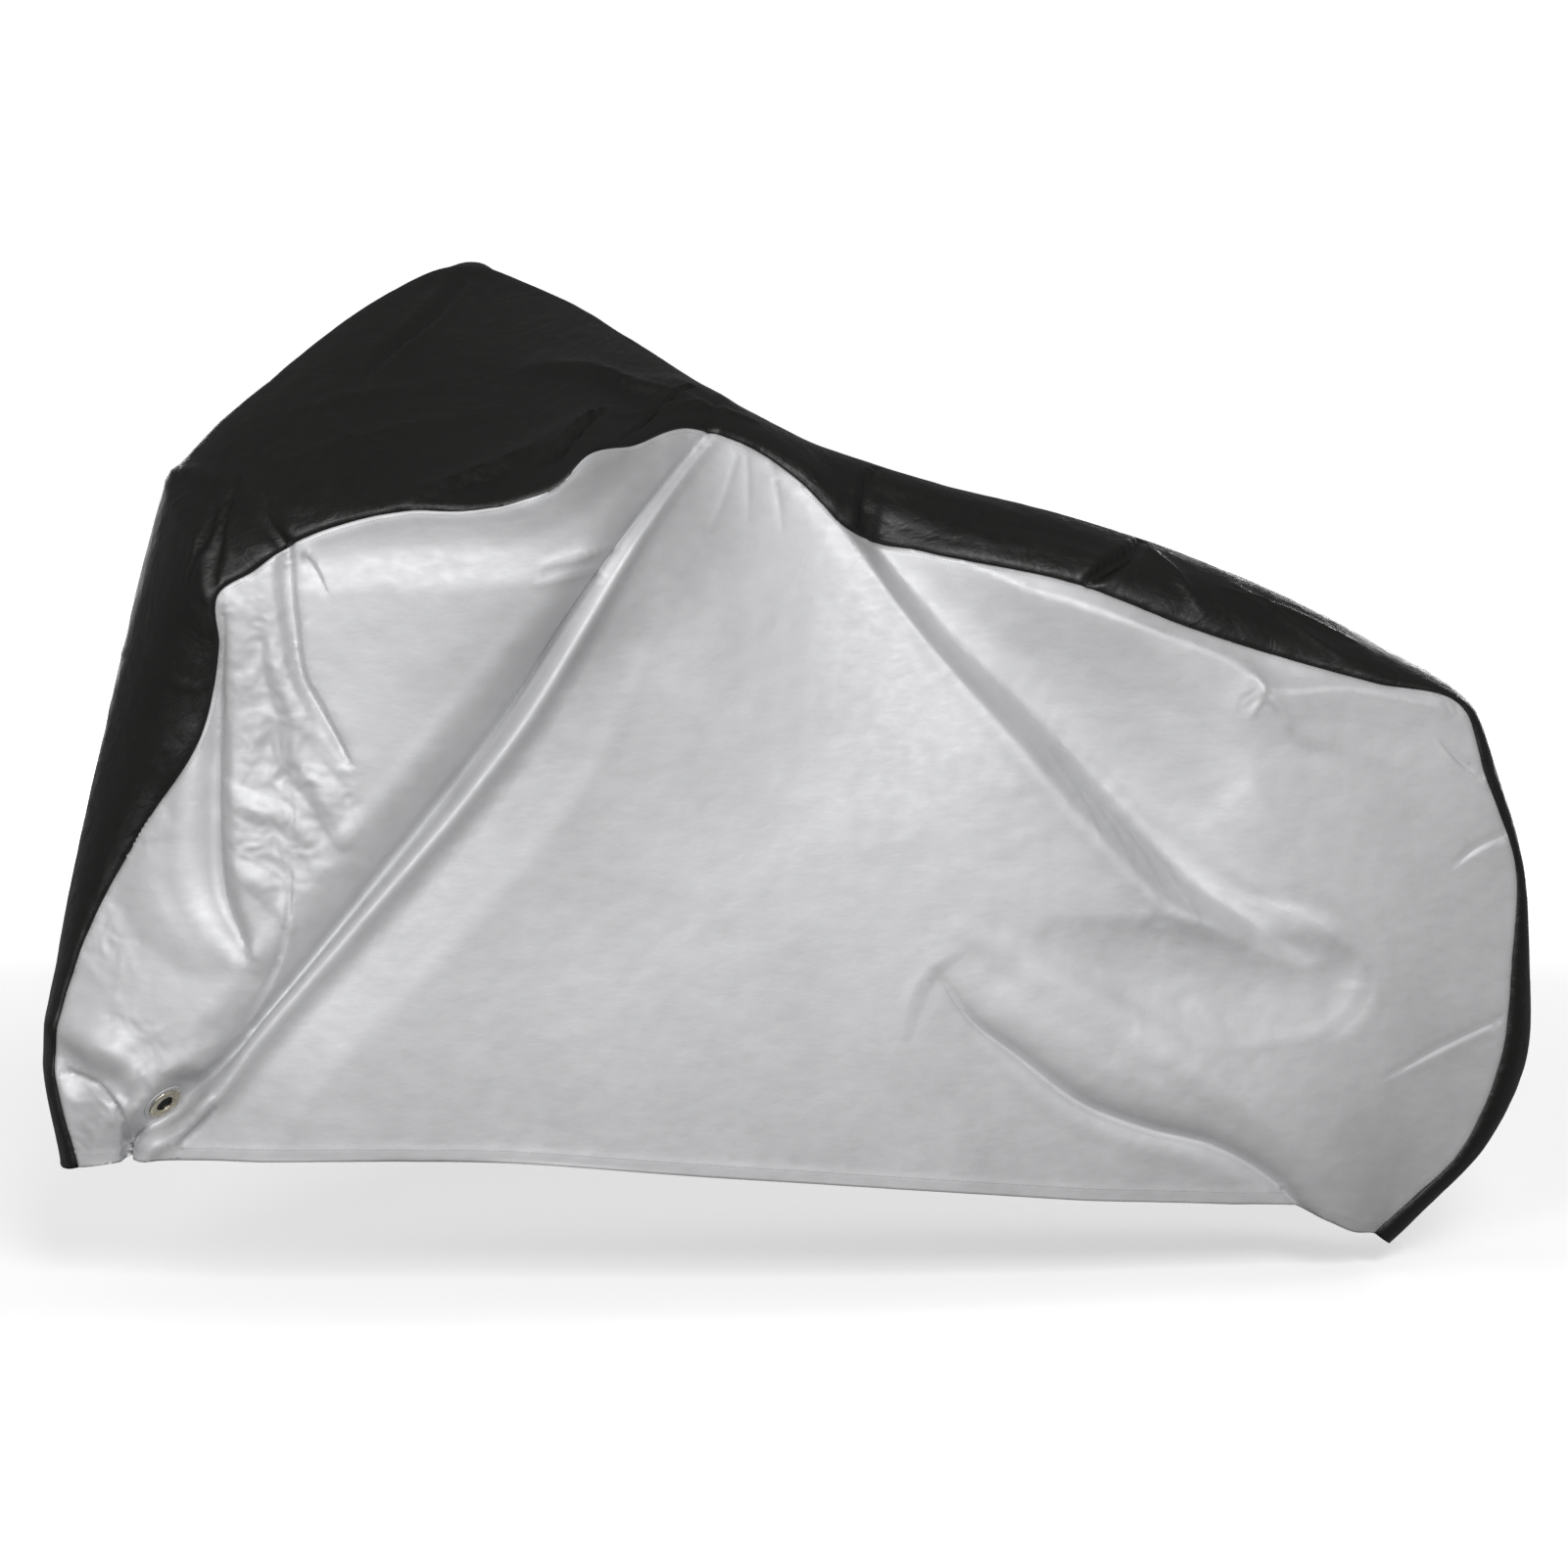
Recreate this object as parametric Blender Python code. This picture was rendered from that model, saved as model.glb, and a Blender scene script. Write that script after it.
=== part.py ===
"""A fitted two-tone rain cover, hollow and open below, in the shape in which it hangs.

A dark strip runs from the front hem over a high front peak and a support in the middle to the
rear hem, and a light panel hangs from each of its edges. Each light panel has one lock eyelet
near its front hem.

Metres, +Z up. +X runs to the rear, +Y to the far side. Tables give heights above the ground, and
place() moves the origin to the point where the support carries the cover.
"""

import math

import bpy
import numpy as np
from mathutils.geometry import delaunay_2d_cdt

SUPPORT_HEIGHT = 1.088
CLOTH = 0.002
GAP = 0.0003

# Spacing of the sheets' points: along the strip, in the two panels, and along the hems. The other
# spacings are shares of a panel's own: along a fold's line, between one fold's rows, from other
# folds, and from the lattice between them. Rows farther out than WIDEST_ROW are left out.
STRIP_STEP = 0.042
PANEL_STEP = {-1: 0.041, 1: 0.062}
HEM_STEP = 0.050
LINE_SPACING = 0.80
OWN_SPACING = 0.14
OTHER_SPACING = 0.34
LATTICE_SPACING = 0.62
WIDEST_ROW = 0.062
STRIP_NEAR_STEPS = 5
STRIP_FAR_STEPS = 4

# How finely curves and fold lines are sampled, and the angle past which an edge is shaded sharp.
CURVE_SAMPLES = 60
FOLD_SAMPLING = 0.015
SHARP_ANGLE = math.radians(50)

# The lock eyelets: a metal ring pressed through a round sewn patch, over a hole in the panel.
HOLE_RADIUS = 0.011
RING_WALL = 0.0015
RING_RADIUS = 0.022
RING_BACK_RADIUS = 0.0185
FLANGE = 0.001
RING_DOME = 0.0016
PATCH_CLOTH = 0.0015
PATCH_RADIUS = 0.027
PANEL_HOLE_RADIUS = 0.0205
FLAT_RADIUS = 0.029
CLEAR_RADIUS = 0.033
BLEND_RADIUS = 0.065
STRAIGHT_RADII = (0.050, 0.120)
ROUND_STEPS = 20

# Sections of the dark strip, from the front hem to the rear one. seam_* is its near edge, where
# the light panel begins (out is its distance from the middle plane), crown_* its outermost line,
# far_shift and far_lift move its far edge from the near one's mirror place, and roundness is 1
# for a straight slope from edge to crown and 2 for a quarter ellipse.
SECTION_COLUMNS = (
    "seam_x", "seam_z", "seam_out", "crown_x", "crown_z", "crown_y", "far_shift", "far_lift", "roundness",
)
SECTIONS = (
    (-0.770, 0.170, 0.070, -0.792, 0.165, 0.00, 0.00, 0.000, 2.2),
    (-0.796, 0.304, 0.075, -0.811, 0.300, 0.00, 0.00, 0.000, 2.2),
    (-0.765, 0.427, 0.080, -0.791, 0.420, 0.00, 0.00, 0.000, 2.1),
    (-0.690, 0.576, 0.110, -0.762, 0.560, 0.00, 0.00, 0.000, 1.8),
    (-0.615, 0.700, 0.155, -0.731, 0.690, 0.00, 0.00, 0.000, 1.7),
    (-0.597, 0.799, 0.185, -0.706, 0.790, 0.00, 0.00, 0.000, 1.7),
    (-0.596, 0.861, 0.195, -0.678, 0.904, 0.00, 0.00, 0.005, 1.6),
    (-0.554, 0.888, 0.200, -0.650, 0.985, 0.00, 0.00, 0.020, 1.5),
    (-0.520, 0.913, 0.205, -0.605, 1.038, 0.01, 0.00, 0.045, 1.4),
    (-0.453, 0.942, 0.220, -0.523, 1.107, 0.06, 0.00, 0.090, 1.3),
    (-0.381, 0.957, 0.240, -0.424, 1.181, 0.14, 0.01, 0.160, 1.2),
    (-0.321, 0.958, 0.260, -0.350, 1.222, 0.20, 0.01, 0.220, 1.2),
    (-0.255, 0.970, 0.285, -0.285, 1.238, 0.24, -0.01, 0.262, 1.2),
    (-0.205, 0.993, 0.290, -0.232, 1.232, 0.23, -0.03, 0.225, 1.2),
    (-0.187, 1.013, 0.280, -0.180, 1.208, 0.18, -0.02, 0.165, 1.2),
    (-0.111, 1.031, 0.200, -0.093, 1.154, 0.08, 0.00, 0.085, 1.3),
    (-0.033, 1.047, 0.120, -0.016, 1.101, 0.00, 0.00, 0.020, 1.5),
    (0.040, 1.022, 0.100, 0.059, 1.059, 0.00, 0.00, 0.000, 1.7),
    (0.110, 0.968, 0.105, 0.125, 1.026, 0.00, 0.00, 0.000, 1.8),
    (0.145, 0.932, 0.110, 0.165, 1.012, 0.00, 0.00, 0.000, 1.8),
    (0.250, 0.900, 0.120, 0.283, 0.976, 0.00, 0.00, 0.000, 1.8),
    (0.427, 0.860, 0.130, 0.454, 0.933, 0.00, 0.00, 0.000, 1.8),
    (0.572, 0.804, 0.130, 0.610, 0.880, 0.00, 0.00, 0.000, 1.8),
    (0.795, 0.737, 0.120, 0.830, 0.776, 0.00, 0.00, 0.000, 1.8),
    (0.915, 0.703, 0.110, 0.944, 0.703, 0.00, 0.00, 0.000, 2.0),
    (0.943, 0.622, 0.110, 0.980, 0.615, 0.00, 0.00, 0.000, 2.0),
    (0.989, 0.499, 0.100, 1.016, 0.490, 0.00, 0.00, 0.000, 2.0),
    (0.986, 0.389, 0.100, 1.028, 0.380, 0.00, 0.00, 0.000, 2.0),
    (0.973, 0.253, 0.095, 1.027, 0.245, 0.00, 0.00, 0.000, 2.0),
    (0.925, 0.142, 0.085, 0.972, 0.136, 0.00, 0.00, 0.000, 2.0),
    (0.816, 0.050, 0.080, 0.852, 0.027, 0.00, 0.00, 0.000, 2.0),
)

# The light panels' bottom edge between the two ends of the strip, from front to rear. far_lift
# raises the far panel's edge.
HEM_COLUMNS = ("x", "z", "out", "far_lift")
HEM = (
    (-0.711, 0.180, 0.100, 0.005),
    (-0.574, 0.187, 0.155, 0.020),
    (-0.287, 0.186, 0.190, 0.040),
    (-0.050, 0.165, 0.200, 0.035),
    (0.240, 0.138, 0.195, 0.020),
    (0.422, 0.119, 0.180, 0.010),
    (0.610, 0.104, 0.155, 0.000),
    (0.706, 0.094, 0.140, 0.000),
    (0.744, 0.076, 0.125, 0.000),
    (0.785, 0.057, 0.100, 0.000),
)

# How far the light panels stand out between their edges.
BODY_COLUMNS = ("x", "z", "out")
BODY = (
    (-0.720, 0.360, 0.115),
    (-0.560, 0.600, 0.175),
    (-0.400, 0.780, 0.225),
    (-0.220, 0.840, 0.262),
    (-0.250, 0.500, 0.205),
    (-0.050, 0.800, 0.205),
    (0.050, 0.350, 0.205),
    (0.100, 0.650, 0.180),
    (0.350, 0.600, 0.178),
    (0.450, 0.350, 0.185),
    (0.620, 0.550, 0.160),
    (0.800, 0.350, 0.145),
    (0.850, 0.550, 0.128),
)

# Folds of the near panel, then of the far one. line gives points with x, z and strength, which
# scales a fold's height and narrows it where it is weak. profile gives the fold's height at
# places across it, measured to the left of the line as seen from the near side when walking from
# its first point to its last.
NARROWEST = 0.4
NEAR_FOLDS = (
    {
        "name": "main trough and ridge, from the support past the eyelet",
        "profile": (
            (-0.085, 0.000), (-0.055, -0.002), (-0.040, -0.008), (-0.003, -0.038), (0.005, -0.034),
            (0.016, -0.002), (0.026, 0.010), (0.040, 0.008), (0.055, -0.002), (0.075, -0.008),
            (0.110, -0.005), (0.160, 0.000),
        ),
        "line": (
            (0.010, 1.065, 0.1), (-0.125, 0.910, 0.3), (-0.184, 0.817, 0.5), (-0.254, 0.711, 0.95),
            (-0.318, 0.628, 1.0), (-0.451, 0.472, 0.9), (-0.568, 0.334, 0.8), (-0.618, 0.272, 0.9),
            (-0.656, 0.239, 1.0), (-0.694, 0.206, 1.0), (-0.712, 0.165, 0.9),
        ),
    },
    {
        "name": "flank that carries the eyelet",
        "profile": (
            (-0.080, 0.000), (-0.050, 0.008), (-0.018, 0.002), (-0.001, -0.010), (0.014, 0.000), (0.030, 0.000),
        ),
        "line": (
            (-0.568, 0.334, 0.0), (-0.618, 0.272, 0.8), (-0.656, 0.239, 1.0), (-0.694, 0.206, 0.9),
            (-0.712, 0.165, 0.5),
        ),
    },
    {
        "name": "rear trough, from the support",
        "profile": (
            (-0.040, 0.000), (-0.010, 0.002), (0.004, -0.010), (0.035, -0.030), (0.060, -0.033),
            (0.110, -0.022), (0.180, -0.006), (0.240, 0.000),
        ),
        "line": (
            (0.060, 1.060, 0.0), (0.140, 0.935, 0.35), (0.238, 0.803, 0.8), (0.349, 0.677, 1.0),
            (0.452, 0.561, 0.8), (0.531, 0.483, 0.45), (0.625, 0.430, 0.2), (0.700, 0.390, 0.0),
        ),
    },
    {
        "name": "round hollow beyond it",
        "profile": ((-0.080, 0.000), (-0.045, -0.007), (0.000, -0.013), (0.045, -0.009), (0.075, 0.000)),
        "line": ((0.400, 0.430, 0.2), (0.520, 0.400, 0.8), (0.640, 0.375, 1.0), (0.735, 0.370, 0.8)),
    },
    {
        "name": "low rear trough, under the rear lobe",
        "profile": (
            (-0.050, 0.000), (-0.014, -0.006), (-0.002, -0.022), (0.018, -0.014), (0.045, 0.006),
            (0.080, 0.013), (0.120, 0.006), (0.170, 0.000),
        ),
        "line": (
            (0.250, 0.395, 0.1), (0.287, 0.344, 0.4), (0.346, 0.297, 0.7), (0.426, 0.236, 0.9),
            (0.506, 0.202, 1.0), (0.595, 0.175, 1.0), (0.659, 0.138, 1.0), (0.717, 0.085, 0.9),
            (0.750, 0.050, 0.7),
        ),
    },
    {
        "name": "edge under the rear seam",
        "profile": (
            (-0.085, 0.000), (-0.040, 0.005), (0.000, 0.012), (0.014, 0.007), (0.040, -0.002), (0.060, 0.000),
        ),
        "line": (
            (0.290, 0.890, 0.3), (0.355, 0.859, 0.7), (0.432, 0.832, 0.9), (0.537, 0.794, 1.0),
            (0.617, 0.761, 1.0), (0.660, 0.732, 1.0), (0.760, 0.729, 0.8), (0.880, 0.706, 0.3),
        ),
    },
    {
        "name": "trough below the front shoulder",
        "profile": ((-0.045, 0.000), (-0.020, -0.008), (0.000, -0.013), (0.020, -0.008), (0.040, 0.000)),
        "line": (
            (-0.500, 0.893, 0.4), (-0.401, 0.911, 0.9), (-0.315, 0.918, 1.0), (-0.244, 0.924, 1.0),
            (-0.176, 0.959, 1.0), (-0.100, 1.005, 0.6),
        ),
    },
    {
        "name": "crease below the front corner",
        "profile": ((-0.040, 0.000), (-0.014, -0.008), (0.000, -0.013), (0.016, 0.001), (0.030, 0.004), (0.055, 0.000)),
        "line": (
            (-0.517, 0.940, 0.8), (-0.515, 0.870, 1.0), (-0.510, 0.818, 0.9), (-0.500, 0.760, 0.8),
            (-0.477, 0.719, 0.7), (-0.449, 0.666, 0.3),
        ),
    },
    {
        "name": "front trough and ridge",
        "profile": (
            (-0.050, 0.000), (-0.020, -0.007), (-0.003, -0.018), (0.012, 0.001), (0.024, 0.012),
            (0.042, 0.008), (0.070, 0.000),
        ),
        "line": (
            (-0.590, 0.830, 0.2), (-0.597, 0.711, 0.7), (-0.602, 0.600, 1.0), (-0.594, 0.499, 1.0),
            (-0.572, 0.450, 0.5),
        ),
    },
    {
        "name": "low front ridge and trough",
        "profile": (
            (-0.075, 0.000), (-0.052, -0.010), (-0.035, -0.006), (-0.010, 0.010), (0.005, 0.013),
            (0.030, 0.004), (0.050, 0.000),
        ),
        "line": ((-0.800, 0.350, 0.1), (-0.765, 0.333, 0.7), (-0.737, 0.316, 1.0), (-0.700, 0.290, 0.3)),
    },
)
FAR_FOLDS = (
    {
        "name": "front trough, from the support to the front hem",
        "profile": ((-0.080, 0.000), (-0.030, -0.014), (0.000, -0.026), (0.030, -0.006), (0.060, 0.004), (0.100, 0.000)),
        "line": (
            (0.000, 1.080, 0.1), (-0.130, 0.900, 0.5), (-0.270, 0.690, 1.0), (-0.400, 0.480, 0.9),
            (-0.500, 0.220, 0.5),
        ),
    },
    {
        "name": "fold hanging from the far shoulder",
        "profile": ((-0.090, 0.000), (-0.040, 0.010), (0.000, 0.018), (0.040, 0.010), (0.090, 0.000)),
        "line": ((-0.300, 1.200, 0.7), (-0.340, 0.900, 1.0), (-0.420, 0.650, 0.7), (-0.520, 0.400, 0.2)),
    },
    {
        "name": "rear trough, from the support to the rear hem",
        "profile": ((-0.080, 0.000), (-0.030, -0.008), (0.000, -0.024), (0.050, -0.012), (0.120, 0.000)),
        "line": (
            (0.060, 1.060, 0.1), (0.200, 0.820, 0.7), (0.360, 0.600, 1.0), (0.520, 0.420, 0.8),
            (0.640, 0.250, 0.3),
        ),
    },
    {
        "name": "low rear ridge",
        "profile": ((-0.090, 0.000), (-0.040, 0.008), (0.000, 0.014), (0.045, 0.008), (0.090, 0.000)),
        "line": ((0.300, 0.430, 0.3), (0.480, 0.320, 1.0), (0.640, 0.220, 1.0), (0.760, 0.060, 0.6)),
    },
)

# Folds of the strip: height, width, and the line's points, each as the distance along the near
# seam, the place across (0 near seam, 1 crown, 2 far seam) and the strength.
STRIP_FOLDS = (
    {
        "name": "crease rising from the near shoulder",
        "height": 0.008, "width": 0.022,
        "line": ((1.00, 0.05, 0.4), (1.11, 0.13, 1.0), (1.18, 0.17, 1.0), (1.26, 0.20, 0.4)),
    },
    {
        "name": "crease running down to the support",
        "height": 0.007, "width": 0.030,
        "line": ((1.20, 0.53, 0.5), (1.31, 0.47, 1.0), (1.47, 0.70, 0.6)),
    },
    {
        "name": "far shoulder",
        "height": 0.010, "width": 0.030,
        "line": ((1.08, 1.95, 1.0), (1.12, 1.98, 1.0)),
    },
    {
        "name": "hollow above the rear seam",
        "height": -0.008, "width": 0.030,
        "line": ((1.60, 0.45, 0.2), (1.72, 0.40, 1.0), (1.88, 0.35, 1.0), (2.00, 0.30, 0.3)),
    },
)
SEAM_FOLD_REACH = 0.06

# The eyelets, one on each light panel. The near one sits on the flank of the main trough, so its
# plane tilts with it. In degrees: lean is the angle at which the tilted circle's long axis rises
# towards +X, and tilt turns the circle about that axis, to face down where the lean is small.
EYELET_X, EYELET_Z = -0.668, 0.253
EYELET_LEAN = {-1: 41.0, 1: -70.0}
EYELET_TILT = {-1: 55.0, 1: 23.0}

# Colours in linear light.
SILVER = (0.55, 0.55, 0.56, 1.0)
BLACK = (0.022, 0.022, 0.021, 1.0)
METAL = (0.62, 0.60, 0.52, 1.0)


def columns(names, table):
    return dict(zip(names, np.array(table, float).T))


def place(points):
    return np.asarray(points, float) - (0.0, 0.0, SUPPORT_HEIGHT)


def distances_along(points):
    steps = np.linalg.norm(np.diff(points, axis=0), axis=1)
    return np.concatenate([[0.0], np.cumsum(steps)])


def smooth(keys, values, at, flat_ends=False):
    """Cubic curve through the values at the keys, with slopes from their neighbours."""
    slopes = np.gradient(values, keys)
    if flat_ends:
        slopes[[0, -1]] = 0.0
    place_in = np.clip(np.searchsorted(keys, at, side="right") - 1, 0, len(keys) - 2)
    width = keys[place_in + 1] - keys[place_in]
    t = (at - keys[place_in]) / width
    start, end = values[place_in], values[place_in + 1]
    return (
        start * (1 + 2 * t) * (1 - t) ** 2
        + end * t**2 * (3 - 2 * t)
        + slopes[place_in] * width * t * (1 - t) ** 2
        - slopes[place_in + 1] * width * t**2 * (1 - t)
    )


def even_steps(points, step):
    """Positions along a polyline, as distances, about one step apart."""
    length = distances_along(points)[-1]
    return np.linspace(0.0, length, max(2, round(length / step) + 1))


def strip_sections(step):
    """The strip's near edge, crown and far edge, and its roundness, at even steps of its length."""
    table = columns(SECTION_COLUMNS, SECTIONS)
    seam = np.stack([table["seam_x"], -table["seam_out"], table["seam_z"]], axis=1)
    keys = distances_along(seam)
    at = even_steps(seam, step)
    value = {name: smooth(keys, table[name], at) for name in SECTION_COLUMNS}
    near = np.stack([value["seam_x"], -value["seam_out"], value["seam_z"]], axis=1)
    crown = np.stack([value["crown_x"], value["crown_y"], value["crown_z"]], axis=1)
    far = near * (1, -1, 1) + np.stack(
        [value["far_shift"], np.zeros(len(at)), value["far_lift"]], axis=1
    )
    return near, crown, far, value["roundness"]


def half_section(edge, crown, across, roundness, steps):
    """Points from an edge of the strip up to its crown, evenly spaced."""
    angle = np.linspace(0.0, math.pi / 2, CURVE_SAMPLES)
    power = 2.0 / roundness
    sideways = across * np.dot(crown - edge, across)
    rise = crown - edge - sideways
    curve = (
        edge
        + np.outer(1 - np.cos(angle) ** power, sideways)
        + np.outer(np.sin(angle) ** power, rise)
    )
    along = distances_along(curve)
    wanted = np.linspace(0.0, along[-1], steps + 1)
    return np.stack([np.interp(wanted, along, curve[:, axis]) for axis in range(3)], axis=1)


def strip_grid(step, near_steps, far_steps):
    """Rows of points across the strip, from its near edge over the crown to its far edge."""
    rows = []
    for near, crown, far, roundness in zip(*strip_sections(step)):
        across = (far - near) / np.linalg.norm(far - near)
        first = half_section(near, crown, across, roundness, near_steps)
        second = half_section(far, crown, across, roundness, far_steps)
        rows.append(np.concatenate([first, second[-2::-1]]))
    return np.array(rows)


def thin_plate(points, values):
    """A smooth height over the plane, through the values at the points."""

    def kernel(a, b):
        square = ((a[:, None, :] - b[None, :, :]) ** 2).sum(axis=2)
        return square * np.log(square + 1e-12) / 2

    count = len(points)
    flat = np.concatenate([np.ones((count, 1)), points], axis=1)
    system = np.block([[kernel(points, points), flat], [flat.T, np.zeros((3, 3))]])
    weights = np.linalg.solve(system, np.concatenate([values, np.zeros(3)]))

    def height(at):
        return kernel(at, points) @ weights[:count] + weights[count] + at @ weights[count + 1 :]

    return height


def hem_line(side, seam, step):
    """A light panel's bottom edge, front to rear: its table's rows, and points at even steps."""
    table = columns(HEM_COLUMNS, HEM)
    lift = table["far_lift"] if side > 0 else 0.0
    rows = np.stack([table["x"], side * table["out"], table["z"] + lift], axis=1)
    rows = np.concatenate([seam[:1], rows, seam[-1:]])
    keys = distances_along(rows)
    at = even_steps(rows, step)
    return rows, np.stack([smooth(keys, rows[:, axis], at) for axis in range(3)], axis=1)


def inside(polygon, points):
    """Which points lie in the polygon, by counting the edges that each one's ray crosses."""
    x, z = points[:, 0], points[:, 1]
    found = np.zeros(len(points), bool)
    for (x1, z1), (x2, z2) in zip(polygon, np.roll(polygon, -1, axis=0)):
        if z1 == z2:
            continue
        spans = (z1 > z) != (z2 > z)
        found ^= spans & (x < (x2 - x1) * (z - z1) / (z2 - z1) + x1)
    return found


def lattice(low, high, step):
    rows = []
    for number, z in enumerate(np.arange(low[1], high[1], step * math.sqrt(3) / 2)):
        xs = np.arange(low[0] + step / 2 * (number % 2), high[0], step)
        rows.append(np.stack([xs, np.full(len(xs), z)], axis=1))
    return np.concatenate(rows)


def spaced_out(kept, more, least):
    """The points of more that keep their distance from the kept ones."""
    if not len(more):
        return more
    gaps = np.linalg.norm(more[:, None, :] - kept[None, :, :], axis=2).min(axis=1)
    return more[gaps > least]


def triangulate(outline, inner):
    """Triangles over the outline's inside, using all its points and the inner ones."""
    points = np.concatenate([outline, inner])
    count = len(outline)
    edges = [(i, (i + 1) % count) for i in range(count)]
    verts, _, faces, origin, _, _ = delaunay_2d_cdt([tuple(p) for p in points], edges, [], 0, 1e-7)
    back = [sources[0] for sources in origin]
    faces = np.array([[back[v] for v in face] for face in faces])
    return faces[inside(outline, points[faces].mean(axis=1))]


def fold_line(fold, step):
    """Points along a fold at even steps, as rows of place and strength."""
    line = np.array(fold["line"], float)
    keys = distances_along(line[:, :2])
    at = even_steps(line[:, :2], step)
    return np.stack([smooth(keys, line[:, column], at) for column in range(3)], axis=1)


def spread(strength):
    return NARROWEST + (1 - NARROWEST) * strength


def fold_heights(points, folds):
    """How far the folds move each point of a panel out, or in where negative."""
    total = np.zeros(len(points))
    for fold in folds:
        line = fold_line(fold, FOLD_SAMPLING)
        start, step = line[:-1, :2], np.diff(line[:, :2], axis=0)
        offset = points[:, None, :] - start[None, :, :]
        part = np.clip((offset * step).sum(axis=2) / (step**2).sum(axis=1), 0.0, 1.0)
        gap = offset - part[:, :, None] * step[None, :, :]
        distance = np.linalg.norm(gap, axis=2)
        nearest = distance.argmin(axis=1)
        rows = np.arange(len(points))
        away, along = distance[rows, nearest], part[rows, nearest]
        strength = line[nearest, 2] * (1 - along) + line[nearest + 1, 2] * along
        cross = step[nearest, 0] * gap[rows, nearest, 1] - step[nearest, 1] * gap[rows, nearest, 0]
        across = np.where(cross > 0, away, -away) / spread(strength)
        places, heights = np.array(fold["profile"]).T
        shape = smooth(places, heights, np.clip(across, places[0], places[-1]), flat_ends=True)
        total += strength * shape
    return total


def strip_fold_heights(grid, step):
    """The same for the strip, whose folds are lines in space on its surface."""
    total = np.zeros(grid.shape[:2])
    for fold in STRIP_FOLDS:
        line = fold_line(fold, FOLD_SAMPLING)
        places = []
        for along, across, strength in line:
            steps = STRIP_NEAR_STEPS if across < 1 else STRIP_FAR_STEPS
            column = across * STRIP_NEAR_STEPS if across < 1 else STRIP_NEAR_STEPS + (across - 1) * steps
            row = min(along / step, len(grid) - 1.001)
            i, j = int(row), min(int(column), grid.shape[1] - 2)
            a, b = row - i, column - j
            places.append(
                (1 - a) * (1 - b) * grid[i, j] + a * (1 - b) * grid[i + 1, j]
                + (1 - a) * b * grid[i, j + 1] + a * b * grid[i + 1, j + 1]
            )
        distance = np.linalg.norm(grid[:, :, None, :] - np.array(places), axis=3)
        nearest = distance.argmin(axis=2)
        strength = line[nearest, 2]
        reach = np.exp(-((distance.min(axis=2) / fold["width"]) ** 2))
        total += fold["height"] * strength * reach
    total[:, [0, -1]] = 0.0
    return total


def eyelet_frame(side, stand_out):
    """The eyelet's centre, two directions in its plane and its outside, at the panel's height."""
    lean, tilt = math.radians(EYELET_LEAN[side]), math.radians(EYELET_TILT[side])
    outside = np.array([
        math.sin(tilt) * math.sin(lean), math.cos(tilt) * side, -math.sin(tilt) * math.cos(lean),
    ])
    first = np.array([math.cos(lean), 0.0, math.sin(lean)])
    level = stand_out(np.array([[EYELET_X, EYELET_Z]]))[0]
    centre = np.array([EYELET_X, side * level, EYELET_Z])
    return centre, first, np.cross(outside, first), outside


def circle(frame, radius, lift=0.0):
    centre, first, second, outside = frame
    turn = np.arange(ROUND_STEPS) * 2 * math.pi / ROUND_STEPS
    return centre + radius * (np.outer(np.cos(turn), first) + np.outer(np.sin(turn), second)) + lift * outside


def ease(t):
    t = np.clip(t, 0.0, 1.0)
    return (t * t * (3 - 2 * t))[:, None]


def straight_out(directions, points, frame, side):
    """The directions, turned to Y near an eyelet, so that folds stay where its disc is."""
    distance = np.linalg.norm((points - frame[0])[:, [0, 2]], axis=1)
    near, far = STRAIGHT_RADII
    keep = ease((distance - near) / (far - near))
    mixed = directions * keep + np.array([0.0, side, 0.0]) * (1 - keep)
    return mixed / np.linalg.norm(mixed, axis=1)[:, None]


def onto_plane(points, frame):
    """The points moved along Y onto an eyelet's plane, and their distances there from its centre."""
    centre, _, _, outside = frame
    offset = points - centre
    flat = points.copy()
    flat[:, 1] = centre[1] - (offset[:, 0] * outside[0] + offset[:, 2] * outside[2]) / outside[1]
    return flat, np.linalg.norm(flat - centre, axis=1)


def flatten_around(points, frame):
    """Brings the points near an eyelet onto its plane."""
    flat, distance = onto_plane(points, frame)
    keep = ease((distance - FLAT_RADIUS) / (BLEND_RADIUS - FLAT_RADIUS))
    return points * keep + flat * (1 - keep)


def fold_points(folds, kept, step):
    """Rows of points along the folds, one for each place of their profiles but the outer ones."""
    found = np.zeros((0, 2))
    for fold in folds:
        line = fold_line(fold, LINE_SPACING * step)
        ahead = np.gradient(line[:, :2], axis=0)
        leftward = np.stack([-ahead[:, 1], ahead[:, 0]], axis=1) / np.linalg.norm(ahead, axis=1)[:, None]
        rows = np.zeros((0, 2))
        for place_across, _ in fold["profile"][1:-1]:
            if abs(place_across) > WIDEST_ROW:
                continue
            row = line[:, :2] + place_across * spread(line[:, 2:]) * leftward
            row = spaced_out(np.concatenate([kept, found]), row, OTHER_SPACING * step)
            rows = np.concatenate([rows, spaced_out(rows, row, OWN_SPACING * step)]) if len(rows) else row
        found = np.concatenate([found, rows])
    return found


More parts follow.
